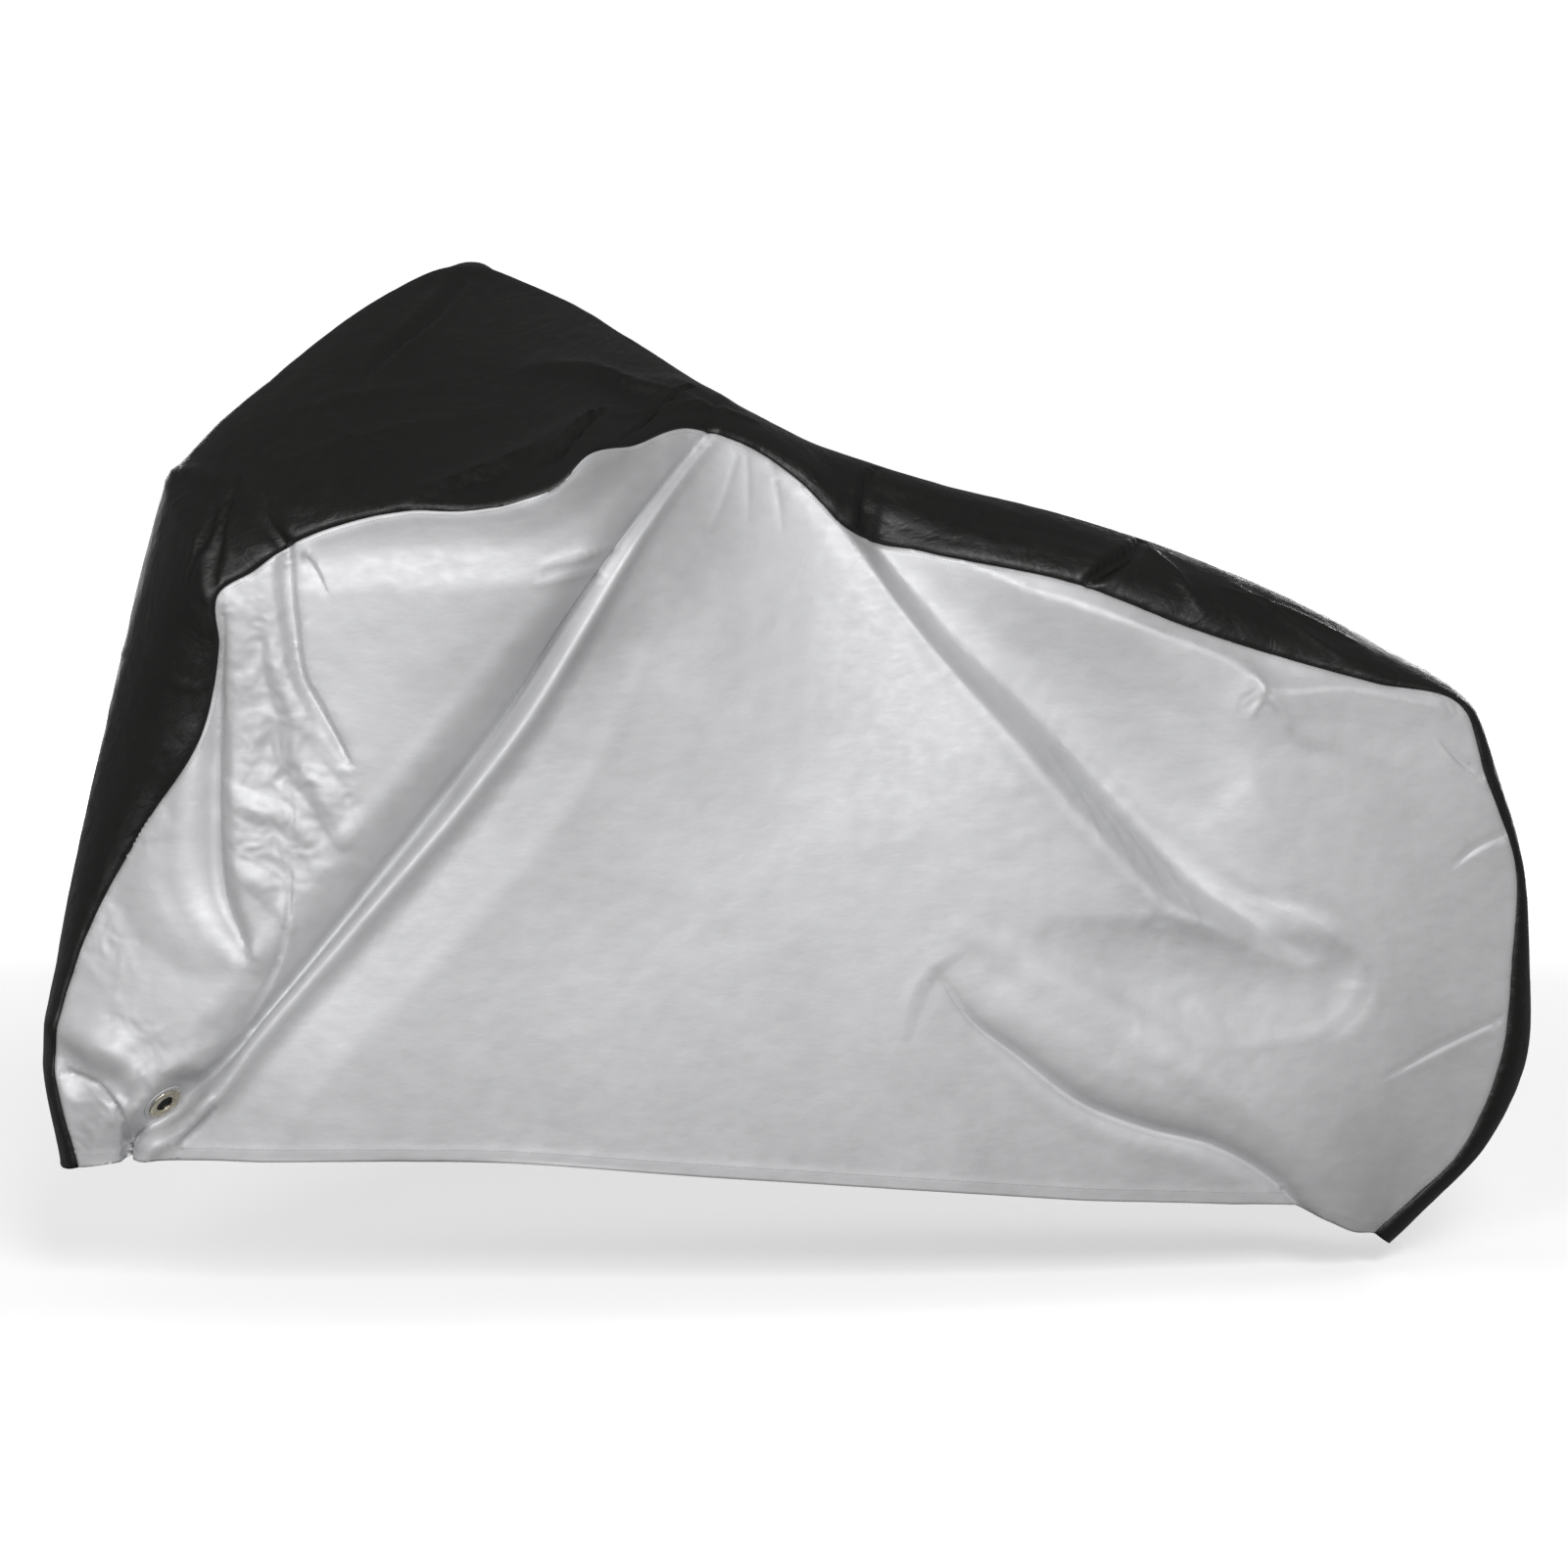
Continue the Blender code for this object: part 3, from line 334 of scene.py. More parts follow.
NEAR_CREASES = (
    ("ridge", 4, 16, ((-227, 894, 0.3), (-175, 907, 1.0), (-137, 915, 0.6))),
    ("ridge", 3, 14, ((-235, 872, 0.3), (-190, 884, 1.0), (-150, 888, 0.5))),
    ("crease", 4, 18, ((-493, 902, 0.8), (-482, 885, 1.0), (-473, 865, 0.4))),
    ("crease", 2.4, 12, (
        (-515, 548, 0.4), (-519, 478, 1.0), (-531, 430, 1.0), (-556, 382, 0.9), (-584, 341, 0.6),
    )),
    ("round", 6, 50, (
        (-633, 639, 0.4), (-665, 576, 1.0), (-675, 518, 1.0), (-658, 473, 0.8), (-616, 446, 0.8),
        (-578, 440, 0.4),
    )),
    ("crease", 6, 18, (
        (-785, 289, 0.6), (-743, 274, 1.0), (-717, 244, 1.0), (-712, 214, 1.0), (-714, 180, 0.9),
    )),
    ("ridge", 6, 12, (
        (-612, 268, 0.2), (-628, 246, 1.0), (-650, 228, 1.0), (-676, 214, 0.9), (-700, 196, 0.5),
    )),
    ("ridge", -6, 12, ((-606, 252, 0.3), (-626, 226, 1.0), (-646, 205, 0.6), (-652, 190, 0.2))),
    ("edge", 1.6, 40, (
        (171, 898, 0.4), (263, 822, 0.9), (402, 702, 1.0), (532, 579, 0.8), (625, 506, 0.5),
        (735, 444, 0.2),
    )),
    ("step", -2.2, 34, (
        (640, 480, 0.3), (700, 462, 0.9), (750, 440, 1.0), (785, 402, 0.8), (782, 355, 0.6),
        (740, 314, 0.4), (640, 298, 0.2),
    )),
    ("step", -1.3, 26, ((275, 425, 0.2), (240, 398, 1.0), (220, 362, 1.0), (211, 325, 0.3))),
    ("round", 4, 34, (
        (276, 452, 0.3), (373, 398, 1.0), (491, 324, 1.0), (593, 255, 0.9), (669, 198, 0.6),
        (729, 140, 0.3),
    )),
    ("round", 6, 24, (
        (-536, 800, 0.3), (-524, 753, 0.8), (-511, 719, 1.0), (-500, 662, 1.0), (-478, 627, 1.0),
        (-454, 575, 0.5),
    )),
    ("round", 4, 18, ((-588, 640, 0.3), (-560, 612, 1.0), (-525, 600, 1.0), (-496, 572, 0.4))),
    ("round", 3.5, 18, ((-580, 545, 0.4), (-548, 520, 1.0), (-520, 470, 0.3))),
    ("round", 3.5, 16, ((-556, 765, 0.3), (-545, 715, 1.0), (-560, 670, 0.4))),
    ("edge", 1.8, 34, ((662, 718, 0.6), (689, 682, 1.0), (761, 656, 0.9), (825, 630, 0.3))),
    ("crease", 1.8, 20, ((972, 313, 0.8), (894, 284, 1.0), (815, 249, 0.3))),
    ("crease", 1.8, 20, ((975, 544, 0.8), (931, 527, 1.0), (904, 508, 0.3))),
    ("crease", 3, 16, ((948, 610, 0.6), (905, 640, 1.0), (880, 668, 0.3))),
    ("ridge", 3, 16, ((640, 752, 0.3), (652, 728, 1.0), (640, 700, 0.3))),
    ("ridge", 2.8, 16, ((652, 728, 0.8), (675, 706, 0.8), (690, 680, 0.2))),
    ("ridge", 1.6, 10, ((391, 659, 0.3), (422, 616, 1.0), (445, 564, 0.3))),
    ("ridge", 1.6, 10, ((427, 623, 0.3), (461, 577, 1.0), (487, 522, 0.3))),
    ("ridge", 1.6, 10, ((469, 587, 0.3), (503, 540, 1.0), (530, 486, 0.3))),
    ("ridge", 1.6, 10, ((499, 563, 0.3), (537, 519, 1.0), (566, 467, 0.3))),
    ("ridge", 1.4, 10, ((60, 1010, 0.9), (66, 970, 0.7), (70, 930, 0.2))),
    ("ridge", 1.2, 10, ((30, 1020, 0.9), (30, 980, 0.6), (28, 940, 0.2))),
    ("ridge", 1.2, 10, ((20, 1020, 0.9), (-4, 960, 0.6), (-20, 930, 0.2))),
)
FAR_CREASES = (
    ("crease", 4, 16, ((-560, 850, 0.4), (-520, 720, 1.0), (-500, 600, 0.4))),
    ("ridge", 4, 20, ((200, 860, 0.3), (350, 700, 1.0), (520, 560, 0.4))),
    ("crease", 4, 16, ((972, 313, 0.8), (894, 284, 1.0), (815, 249, 0.4))),
)
STRIP_CREASES = (
    ("ridge", 6, 22, ((805, 1.2, 0.4), (813, 0.97, 0.9), (828, 0.7, 1.0), (838, 0.52, 0.5))),
    ("ridge", 5, 24, ((805, 1.15, 0.4), (800, 0.8, 1.0), (774, 0.2, 1.0), (746, 0.05, 0.4))),
    ("crease", 5, 20, ((835, 0.55, 0.4), (820, 0.4, 1.0), (781, 0.25, 1.0), (755, 0.2, 0.4))),
    ("crease", 5, 18, ((850, 0.45, 0.5), (835, 0.375, 1.0), (800, 0.2, 1.0), (766, 0.05, 0.8))),
    ("ridge", 3.5, 14, ((843, 0.6, 0.5), (865, 0.33, 1.0), (895, 0.1, 0.8))),
    ("ridge", 3, 14, ((880, 0.6, 0.4), (905, 0.33, 1.0), (940, 0.08, 0.7))),
    ("ridge", 3, 16, ((940, 0.7, 0.3), (960, 0.45, 1.0), (985, 0.15, 0.5))),
    ("ridge", 3.5, 16, ((1120, 0.97, 0.8), (1080, 0.87, 1.0), (1040, 0.77, 0.4))),
    ("crease", 8, 28, (
        (1008, 0.03, 0.3), (1091, 0.09, 0.9), (1143, 0.12, 1.0), (1211, 0.13, 1.0), (1250, 0.19, 0.8),
        (1300, 0.26, 0.2),
    )),
    ("crease", 6, 26, ((1135, 0.925, 0.6), (1075, 0.775, 1.0), (1038, 0.725, 1.0), (1000, 0.625, 0.3))),
    ("ridge", 6, 30, ((1190, 0.53, 0.3), (1233, 0.5, 1.0), (1333, 0.45, 1.0), (1447, 0.35, 0.5))),
    ("ridge", 3.5, 22, ((925, 0.675, 0.4), (1000, 0.55, 1.0), (1075, 0.5, 0.4))),
    ("ridge", 3.5, 24, ((910, 0.4, 0.4), (1008, 0.35, 1.0), (1128, 0.35, 0.5))),
    ("ridge", 4.5, 24, ((2138, 0.475, 0.5), (2228, 0.525, 1.0), (2310, 0.475, 0.4))),
    ("ridge", 5.5, 24, ((1226, 0.2, 0.4), (1333, 0.22, 1.0), (1454, 0.36, 0.8), (1520, 0.5, 0.3))),
    ("crease", 5, 20, ((1300, 0.05, 0.5), (1360, 0.2, 1.0), (1430, 0.6, 0.6))),
    ("crease", 6, 24, ((1690, 0.04, 0.6), (1687, 0.25, 1.0), (1687, 0.525, 1.0), (1700, 0.8, 0.4))),
    ("round", 5, 30, ((1680, 0.4, 0.4), (1810, 0.33, 1.0), (1960, 0.3, 0.6))),
    ("crease", 9, 34, (
        (1970, 0.05, 0.4), (1981, 0.175, 1.0), (2000, 0.36, 1.0), (2018, 0.55, 0.9), (2030, 0.8, 0.4),
    )),
    ("ridge", 5, 24, (
        (2030, 0.72, 0.4), (2045, 0.6, 1.0), (2070, 0.45, 1.0), (2093, 0.275, 0.8), (2120, 0.1, 0.3),
    )),
    ("ridge", 4, 22, ((2150, 0.6, 0.3), (2220, 0.4, 1.0), (2300, 0.15, 0.6))),
    ("edge", 1.4, 10, ((684, 0.95, 1.0), (661, 0.375, 1.0), (639, 0.1, 1.0))),
)

# Where the near panel is crumpled: x, z, reach and height of the crumples.
CRUMPLE_COLUMNS = ("x", "z", "reach", "height")
CRUMPLES = (
    (-565, 850, 40, 2),
    (-550, 780, 45, 2.6),
    (-525, 715, 50, 3.2),
    (-510, 640, 55, 3.4),
    (-540, 580, 55, 2.8),
    (-480, 590, 45, 2.2),
    (-540, 510, 45, 1.6),
    (-690, 590, 50, 2.2),
    (-740, 450, 60, 2.2),
    (-700, 330, 50, 1.8),
    (-740, 220, 50, 2.8),
    (645, 720, 35, 2),
    (540, 470, 60, 1.4),
    (420, 620, 120, 0.9),
    (560, 300, 120, 0.9),
)
FINE_FROM = 0.0015  # height of the crumples from which the sheet's points are close together
CRUMPLE_SIZE = 0.034
WARP_SIZE, WARP_AMOUNT, WARP_SHIFTS = 1.7, 0.8, (3.3, 17.1, 29.7)
SMALL_RIDGES = 2.1
SLACK_SIZE, SLACK_HEIGHT = 0.16, 0.0022
WRINKLE_SIZE, WRINKLE_HEIGHT = 0.030, 0.00045
STRIP_CRUMPLE_SIZE, STRIP_CRUMPLE_HEIGHT = CRUMPLE_SIZE * 1.4, WRINKLE_HEIGHT * 2

# Seams and hems.
GROOVE_DEPTH, GROOVE_WIDTH = 0.0016, 0.0035
PUCKER_SIZE, PUCKER_HEIGHT, PUCKER_REACH = 0.022, 0.0017, 0.024
HEM_BAND, HEM_STEP_UP, HEM_EDGE = 0.0178, 0.0005, 0.0010
RIPPLE_SIZE, RIPPLE_HEIGHT, RIPPLE_REACH = 0.11, 0.0030, 0.060
STITCH_PITCH, STITCH_LENGTH, STITCH_RADIUS = 0.0042, 0.0030, 0.00032
STITCH_RINGS = ((-1.0, 0.25), (-0.55, 1.0), (0.55, 1.0), (1.0, 0.25))  # place along, and width
STITCH_SIDES, STITCH_LIFT, STITCH_SINK = 5, 0.7, 0.6
SEAM_STITCH_FROM_EDGE = 0.005
HEM_STITCH_FROM_EDGE = 0.015
PATCH_STITCH_RADIUS = 0.0248

# Colours in linear light.
SILVER = (0.63, 0.631, 0.642)
SILVER_INSIDE = (0.20, 0.20, 0.205)
BLACK = (0.0062, 0.0058, 0.0053)
METAL = (0.62, 0.58, 0.47)
THREAD_LIGHT = (0.42, 0.42, 0.42)
THREAD_DARK = (0.012, 0.012, 0.012)

# The camera, from the photo's viewing angle.
CAMERA_AZIMUTH, CAMERA_ELEVATION = -8.0, 6.0
CAMERA_DISTANCE, LENS, SENSOR = 5.336, 100.0, 36.0
AIM = (0.09, 0.0, 0.61)

# The stage and its lights: name, azimuth, elevation and power.
WHITE = (1.0, 1.0, 1.0, 1.0)
STAGE_RADIUS = 24.0
FLOOR_COLOUR = (0.88, 0.88, 0.88)
FLOOR_GLOW, FLOOR_GLOW_FROM = (0.42, 1.0), (3.0, 7.0)
WORLD_STRENGTH = 0.17
LIGHT_DISTANCE, LIGHT_SIZE = 8.0, 2.4
LIGHTS = (
    ("key", -32.0, 14.0, 240.0),
    ("top", 4.0, 29.0, 340.0),
    ("back_key", 150.0, 4.0, 190.0),
    ("back_top", 192.0, 7.0, 160.0),
)

# Where Blender's nodes have their sockets, and how fast a wave texture turns.
MIX_FIRST, MIX_SECOND, MIX_RESULT = 6, 7, 2
OBJECT_PLACE, LENGTH_RESULT = 3, 1
WAVE_RATE = 20

TINY = 1e-12
NOISE_SEED = 11
NOISE_CELLS = 256
DRAW = np.random.default_rng(NOISE_SEED)
CELL_ORDER = DRAW.permutation(NOISE_CELLS)
CELL_SLOPES = DRAW.normal(size=(NOISE_CELLS, 3))
CELL_SLOPES /= np.linalg.norm(CELL_SLOPES, axis=1)[:, None]


def columns(names, table):
    """The table's columns by name, with lengths in metres."""
    found = dict(zip(names, np.array(table, float).T))
    return {name: found[name] / (1 if name == "roundness" else MILLIMETRES) for name in names}


def metres(rows):
    """Rows that start with two lengths, with those in metres."""
    return [(a / MILLIMETRES, b / MILLIMETRES, *rest) for a, b, *rest in rows]


def crease_profile(form, height, width):
    height, width = height / MILLIMETRES, width / MILLIMETRES
    return [(place_across * width, share * height) for place_across, share in FORMS[form]]


def bends(folds, creases):
    """The line and the profile of each fold and each crease, in metres."""
    large = [(metres(fold["line"]), metres(fold["profile"])) for fold in folds]
    small = [(metres(line), crease_profile(form, height, width)) for form, height, width, line in creases]
    return large, small


def place(points):
    return np.asarray(points, float) - (0.0, 0.0, SUPPORT_HEIGHT)


def unit(vectors):
    return vectors / np.linalg.norm(vectors, axis=1)[:, None]


def leftward(ahead):
    """Unit directions to the left of those ahead, in the plane."""
    return unit(np.stack([-ahead[:, 1], ahead[:, 0]], axis=1))


def bell(distance, width):
    return np.exp(-((distance / width) ** 2))


def distances_along(points):
    steps = np.linalg.norm(np.diff(points, axis=0), axis=1)
    return np.concatenate([[0.0], np.cumsum(steps)])


def smooth(keys, values, at, flat_ends=False):
    """Cubic curve through the values at the keys, with slopes from their neighbours."""
    slopes = np.gradient(values, keys)
    if flat_ends:
        slopes[[0, -1]] = 0.0
    place_in = np.clip(np.searchsorted(keys, at, side="right") - 1, 0, len(keys) - 2)
    width = keys[place_in + 1] - keys[place_in]
    t = (at - keys[place_in]) / width
    start, end = values[place_in], values[place_in + 1]
    return (
        start * (1 + 2 * t) * (1 - t) ** 2
        + end * t**2 * (3 - 2 * t)
        + slopes[place_in] * width * t * (1 - t) ** 2
        - slopes[place_in + 1] * width * t**2 * (1 - t)
    )


def smooth_rows(keys, rows, at):
    """The same for each of three columns."""
    return np.stack([smooth(keys, rows[:, column], at) for column in range(3)], axis=1)


def between(along, points, at):
    """Points on the straight lines between the given ones, at distances along them."""
    return np.stack([np.interp(at, along, points[:, axis]) for axis in range(3)], axis=1)


def ease(t):
    t = np.clip(t, 0.0, 1.0)
    return t * t * (3 - 2 * t)


def soft_noise(points, size, shift=0.0):
    """Smooth noise of about -0.7 to 0.7 with features of the given size."""
    scaled = points / size + shift
    cell = np.floor(scaled).astype(int)
    inner = scaled - cell
    fade = inner**3 * (inner * (inner * 6 - 15) + 10)
    total = np.zeros(len(points))
    for corner in product((0, 1), repeat=3):
        at = (cell + corner) % NOISE_CELLS
        order = CELL_ORDER[at[:, 0]]
        order = CELL_ORDER[(order + at[:, 1]) % NOISE_CELLS]
        order = CELL_ORDER[(order + at[:, 2]) % NOISE_CELLS]
        share = np.where(corner, fade, 1 - fade).prod(axis=1)
        total += share * ((inner - corner) * CELL_SLOPES[order]).sum(axis=1)
    return total


def noise_along(along, size, shift):
    return soft_noise(np.stack([along, along * 0, along * 0], axis=1), size, shift)


def crumpled(points, size):
    """Noise with sharp ridges between soft facets."""
    warp = np.stack([soft_noise(points, size * WARP_SIZE, shift) for shift in WARP_SHIFTS], axis=1)
    bent = points + warp * size * WARP_AMOUNT
    large = soft_noise(bent, size, 5.1)
    small = soft_noise(bent, size / SMALL_RIDGES, 41.3)
    ridges = 0.65 - 1.3 * np.hypot(large, 0.12) - 0.8 * np.hypot(small, 0.10)
    return ridges + soft_noise(bent, size * 0.7, 23.9) * 0.5


def nearest(points, others):
    """For each point, the distance to the nearest of the others, and its number."""
    others = np.asarray(others, float)
    tree = KDTree(len(others))
    flat = others.shape[1] == 2
    for number, other in enumerate(others):
        tree.insert((*other, 0.0) if flat else other, number)
    tree.balance()
    found = [tree.find((*p, 0.0) if flat else p)[1:] for p in points.tolist()]
    return np.array([f[1] for f in found]), np.array([f[0] for f in found])


def even_steps(points, step):
    length = distances_along(points)[-1]
    return np.linspace(0.0, length, max(2, round(length / step) + 1))


def strip_sections(step):
    """The strip's near edge, crown and far edge, and its roundness, at even steps of its length."""
    table = columns(SECTION_COLUMNS, SECTIONS)
    seam = np.stack([table["seam_x"], -table["seam_out"], table["seam_z"]], axis=1)
    keys = distances_along(seam)
    at = even_steps(seam, step)
    value = {name: smooth(keys, table[name], at) for name in SECTION_COLUMNS}
    near = np.stack([value["seam_x"], -value["seam_out"], value["seam_z"]], axis=1)
    crown = np.stack([value["crown_x"], value["crown_y"], value["crown_z"]], axis=1)
    far = near * (1, -1, 1) + np.stack(
        [value["far_shift"], np.zeros(len(at)), value["far_lift"]], axis=1
    )
    return near, crown, far, value["roundness"]


def half_section(edge, crown, across, roundness, steps):
    """Points from an edge of the strip up to its crown, evenly spaced."""
    angle = np.linspace(0.0, math.pi / 2, CURVE_SAMPLES)
    power = 2.0 / roundness
    sideways = across * np.dot(crown - edge, across)
    rise = crown - edge - sideways
    out, up = 1 - np.cos(angle) ** power, np.sin(angle) ** power
    curve = edge + np.outer(out, sideways) + np.outer(up, rise)
    along = distances_along(curve)
    return between(along, curve, np.linspace(0.0, along[-1], steps + 1))


def strip_grid(step, near_steps, far_steps):
    """Rows of points across the strip, from its near edge over the crown to its far edge."""
    rows = []
    for near, crown, far, roundness in zip(*strip_sections(step)):
        across = (far - near) / np.linalg.norm(far - near)
        first = half_section(near, crown, across, roundness, near_steps)
        second = half_section(far, crown, across, roundness, far_steps)
        rows.append(np.concatenate([first, second[-2::-1]]))
    return np.array(rows)


def thin_plate(points, values):
    """A smooth height over the plane, through the values at the points."""

    def kernel(a, b):
        square = ((a[:, None, :] - b[None, :, :]) ** 2).sum(axis=2)
        return square * np.log(square + TINY) / 2

    count = len(points)
    flat = np.concatenate([np.ones((count, 1)), points], axis=1)
    system = np.block([[kernel(points, points), flat], [flat.T, np.zeros((3, 3))]])
    weights = np.linalg.solve(system, np.concatenate([values, np.zeros(3)]))

    def height(at):
        return kernel(at, points) @ weights[:count] + weights[count] + at @ weights[count + 1 :]

    return height


def hem_line(side, seam, step):
    """A light panel's bottom edge, front to rear: its table's rows, and points at even steps."""
    table = columns(HEM_COLUMNS, HEM)
    lift = table["far_lift"] if side > 0 else 0.0
    rows = np.stack([table["x"], side * table["out"], table["z"] + lift], axis=1)
    rows = np.concatenate([seam[:1], rows, seam[-1:]])
    return rows, smooth_rows(distances_along(rows), rows, even_steps(rows, step))


def inside(polygon, points):
    """Which points lie in the polygon, by counting the edges that each one's ray crosses."""
    x, z = points[:, 0], points[:, 1]
    found = np.zeros(len(points), bool)
    for (x1, z1), (x2, z2) in zip(polygon, np.roll(polygon, -1, axis=0)):
        if z1 == z2:
            continue
        spans = (z1 > z) != (z2 > z)
        found ^= spans & (x < (x2 - x1) * (z - z1) / (z2 - z1) + x1)
    return found


def lattice(low, high, step):
    rows = []
    for number, z in enumerate(np.arange(low[1], high[1], step * math.sqrt(3) / 2)):
        xs = np.arange(low[0] + step / 2 * (number % 2), high[0], step)
        rows.append(np.stack([xs, np.full(len(xs), z)], axis=1))
    return np.concatenate(rows)


def spaced_out(kept, more, least):
    """The points of more that keep their distance from the kept ones."""
    return more[nearest(more, kept)[0] > least] if len(more) else more


def triangulate(outline, inner):
    """Triangles over the outline's inside, using all its points and the inner ones."""
    points = np.concatenate([outline, inner])
    count = len(outline)
    edges = [(i, (i + 1) % count) for i in range(count)]
    found = delaunay_2d_cdt([tuple(p) for p in points], edges, [], 0, MERGE_DISTANCE)
    faces, origin = found[2:4]
    back = [sources[0] for sources in origin]
    faces = np.array([[back[v] for v in face] for face in faces])
    return faces[inside(outline, points[faces].mean(axis=1))]


def fold_line(line, step):
    """Points along a fold at even steps, as rows of place and strength."""
    line = np.array(line, float)
    return smooth_rows(distances_along(line[:, :2]), line, even_steps(line[:, :2], step))


def spread(strength):
    """How wide a fold is where it has the strength, as a share of its full width."""
    return NARROWEST + (1 - NARROWEST) * strength


def line_heights(points, line, profile):
    """How far one fold moves each point out, or in where negative."""
    total = np.zeros(len(points))
    places, heights = np.array(profile).T
    line = fold_line(line, FOLD_SAMPLING)
    reach = np.abs(places).max() * spread(max(1.0, line[:, 2].max()))
    low, high = line[:, :2].min(axis=0) - reach, line[:, :2].max(axis=0) + reach
    chosen = np.flatnonzero(((points > low) & (points < high)).all(axis=1))
    if not len(chosen):
        return total
    start, step = line[:-1, :2], np.diff(line[:, :2], axis=0)
    offset = points[chosen][:, None, :] - start[None, :, :]
    part = np.clip((offset * step).sum(axis=2) / (step**2).sum(axis=1), 0.0, 1.0)
    gap = offset - part[:, :, None] * step[None, :, :]
    distance = np.linalg.norm(gap, axis=2)
    closest = distance.argmin(axis=1)
    rows = np.arange(len(chosen))
    away, along = distance[rows, closest], part[rows, closest]
    strength = line[closest, 2] * (1 - along) + line[closest + 1, 2] * along
    cross = step[closest, 0] * gap[rows, closest, 1] - step[closest, 1] * gap[rows, closest, 0]
    across = np.where(cross > 0, away, -away) / spread(strength)
    shape = smooth(places, heights, np.clip(across, places[0], places[-1]), flat_ends=True)
    total[chosen] = strength * shape
    return total


def bend_heights(points, lines):
    """The same for all the lines, each with its profile."""
    return sum(line_heights(points, line, profile) for line, profile in lines)


def strip_column(share):
    """The strip's column at a share of the way: 0 is the near seam, 1 the crown, 2 the far seam."""
    if share < 1:
        return share * STRIP_NEAR_STEPS
    return STRIP_NEAR_STEPS + (share - 1) * STRIP_FAR_STEPS


def on_grid(grid, row, column):
    """The point between four of the grid's, at a row and column with fractions."""
    row = min(row, len(grid) - LAST_ROW_MARGIN)
    i, j = int(row), min(int(column), grid.shape[1] - 2)
    a, b = row - i, column - j
    return (
        (1 - a) * (1 - b) * grid[i, j] + a * (1 - b) * grid[i + 1, j]
        + (1 - a) * b * grid[i, j + 1] + a * b * grid[i + 1, j + 1]
    )


def strip_fold_heights(grid, step):
    """The strip's large folds, which are lines in space on its surface."""
    total = np.zeros(grid.shape[:2])
    for fold in STRIP_FOLDS:
        line = [(along / MILLIMETRES, share, strength) for along, share, strength in fold["line"]]
        line = fold_line(line, STRIP_FOLD_SAMPLING)
        places = [on_grid(grid, along / step, strip_column(share)) for along, share, _ in line]
        distance, closest = nearest(grid.reshape(-1, 3), places)
        height, width = fold["height"] / MILLIMETRES, fold["width"] / MILLIMETRES
        total += (height * line[closest, 2] * bell(distance, width)).reshape(total.shape)
    total[:, [0, -1]] = 0.0
    return total


def eyelet_frame(side):
    """The eyelet's centre, two directions in its plane and its outside, where the solid ring is."""
    lean, tilt = math.radians(EYELET_LEAN[side]), math.radians(EYELET_TILT[side])
    outside = np.array([
        math.sin(tilt) * math.sin(lean), math.cos(tilt) * side, -math.sin(tilt) * math.cos(lean),
    ])
    first = np.array([math.cos(lean), 0.0, math.sin(lean)])
    middle = np.mean(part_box(f"eyelet_ring_{LABELS[side]}"), axis=0) + (0.0, 0.0, SUPPORT_HEIGHT)
    centre = middle - RING_MIDDLE * outside
    return centre, first, np.cross(outside, first), outside


def circle(frame, radius, lift=0.0, steps=ROUND_STEPS):
    centre, first, second, outside = frame
    turn = np.arange(steps) * 2 * math.pi / steps
    spokes = np.outer(np.cos(turn), first) + np.outer(np.sin(turn), second)
    return centre + radius * spokes + lift * outside


def straight_out(directions, points, frame, side):
    """The directions, turned to Y near an eyelet, so that folds stay where its disc is."""
    distance = np.linalg.norm((points - frame[0])[:, [0, 2]], axis=1)
    near, far = STRAIGHT_RADII
    keep = ease((distance - near) / (far - near))[:, None]
    return unit(directions * keep + np.array([0.0, side, 0.0]) * (1 - keep))


def onto_plane(points, frame):
    """The points moved along Y onto an eyelet's plane, and their distances there from its centre."""
    centre, _, _, outside = frame
    offset = points - centre
    flat = points.copy()
    flat[:, 1] = centre[1] - (offset[:, 0] * outside[0] + offset[:, 2] * outside[2]) / outside[1]
    return flat, np.linalg.norm(flat - centre, axis=1)


def clear_of_eyelet(distance):
    """0 on an eyelet's disc, and rising to 1 beyond it."""
    return ease((distance - FLAT_RADIUS) / (BLEND_RADIUS - FLAT_RADIUS))


def flatten_around(points, frame):
    """Brings the points near an eyelet onto its plane."""
    flat, distance = onto_plane(points, frame)
    keep = clear_of_eyelet(distance)[:, None]
    return points * keep + flat * (1 - keep)


def fold_rows(lines, kept):
    """Rows of points along the folds and creases, at the places of their profiles."""
    found = np.zeros((0, 2))
    for line, profile in lines:
        line = fold_line(line, ROW_STEP)
        left = leftward(np.gradient(line[:, :2], axis=0))
        rows = np.zeros((0, 2))
        others = np.concatenate([kept, found])
        for place_across, _ in profile[1:-1]:
            row = line[:, :2] + place_across * spread(line[:, 2:]) * left
            row = spaced_out(others, row, OTHER_SPACING)
            rows = np.concatenate([rows, spaced_out(rows, row, OWN_SPACING)]) if len(rows) else row
        found = np.concatenate([found, rows])
    return found


def rim_rows(outline):
    """Rows of points inside the outline, along it."""
    ahead = np.roll(outline, -1, axis=0) - np.roll(outline, 1, axis=0)
    x, z = outline.T
    area = (x * np.roll(z, -1) - np.roll(x, -1) * z).sum()
    inward = leftward(ahead) if area > 0 else -leftward(ahead)
    found = []
    for distance in RIM_ROWS:
        row = outline + inward * distance
        row = row[inside(outline, row)]
        found.append(row[nearest(row, outline)[0] > distance * ROW_CLEARANCE])
    return np.concatenate(found)


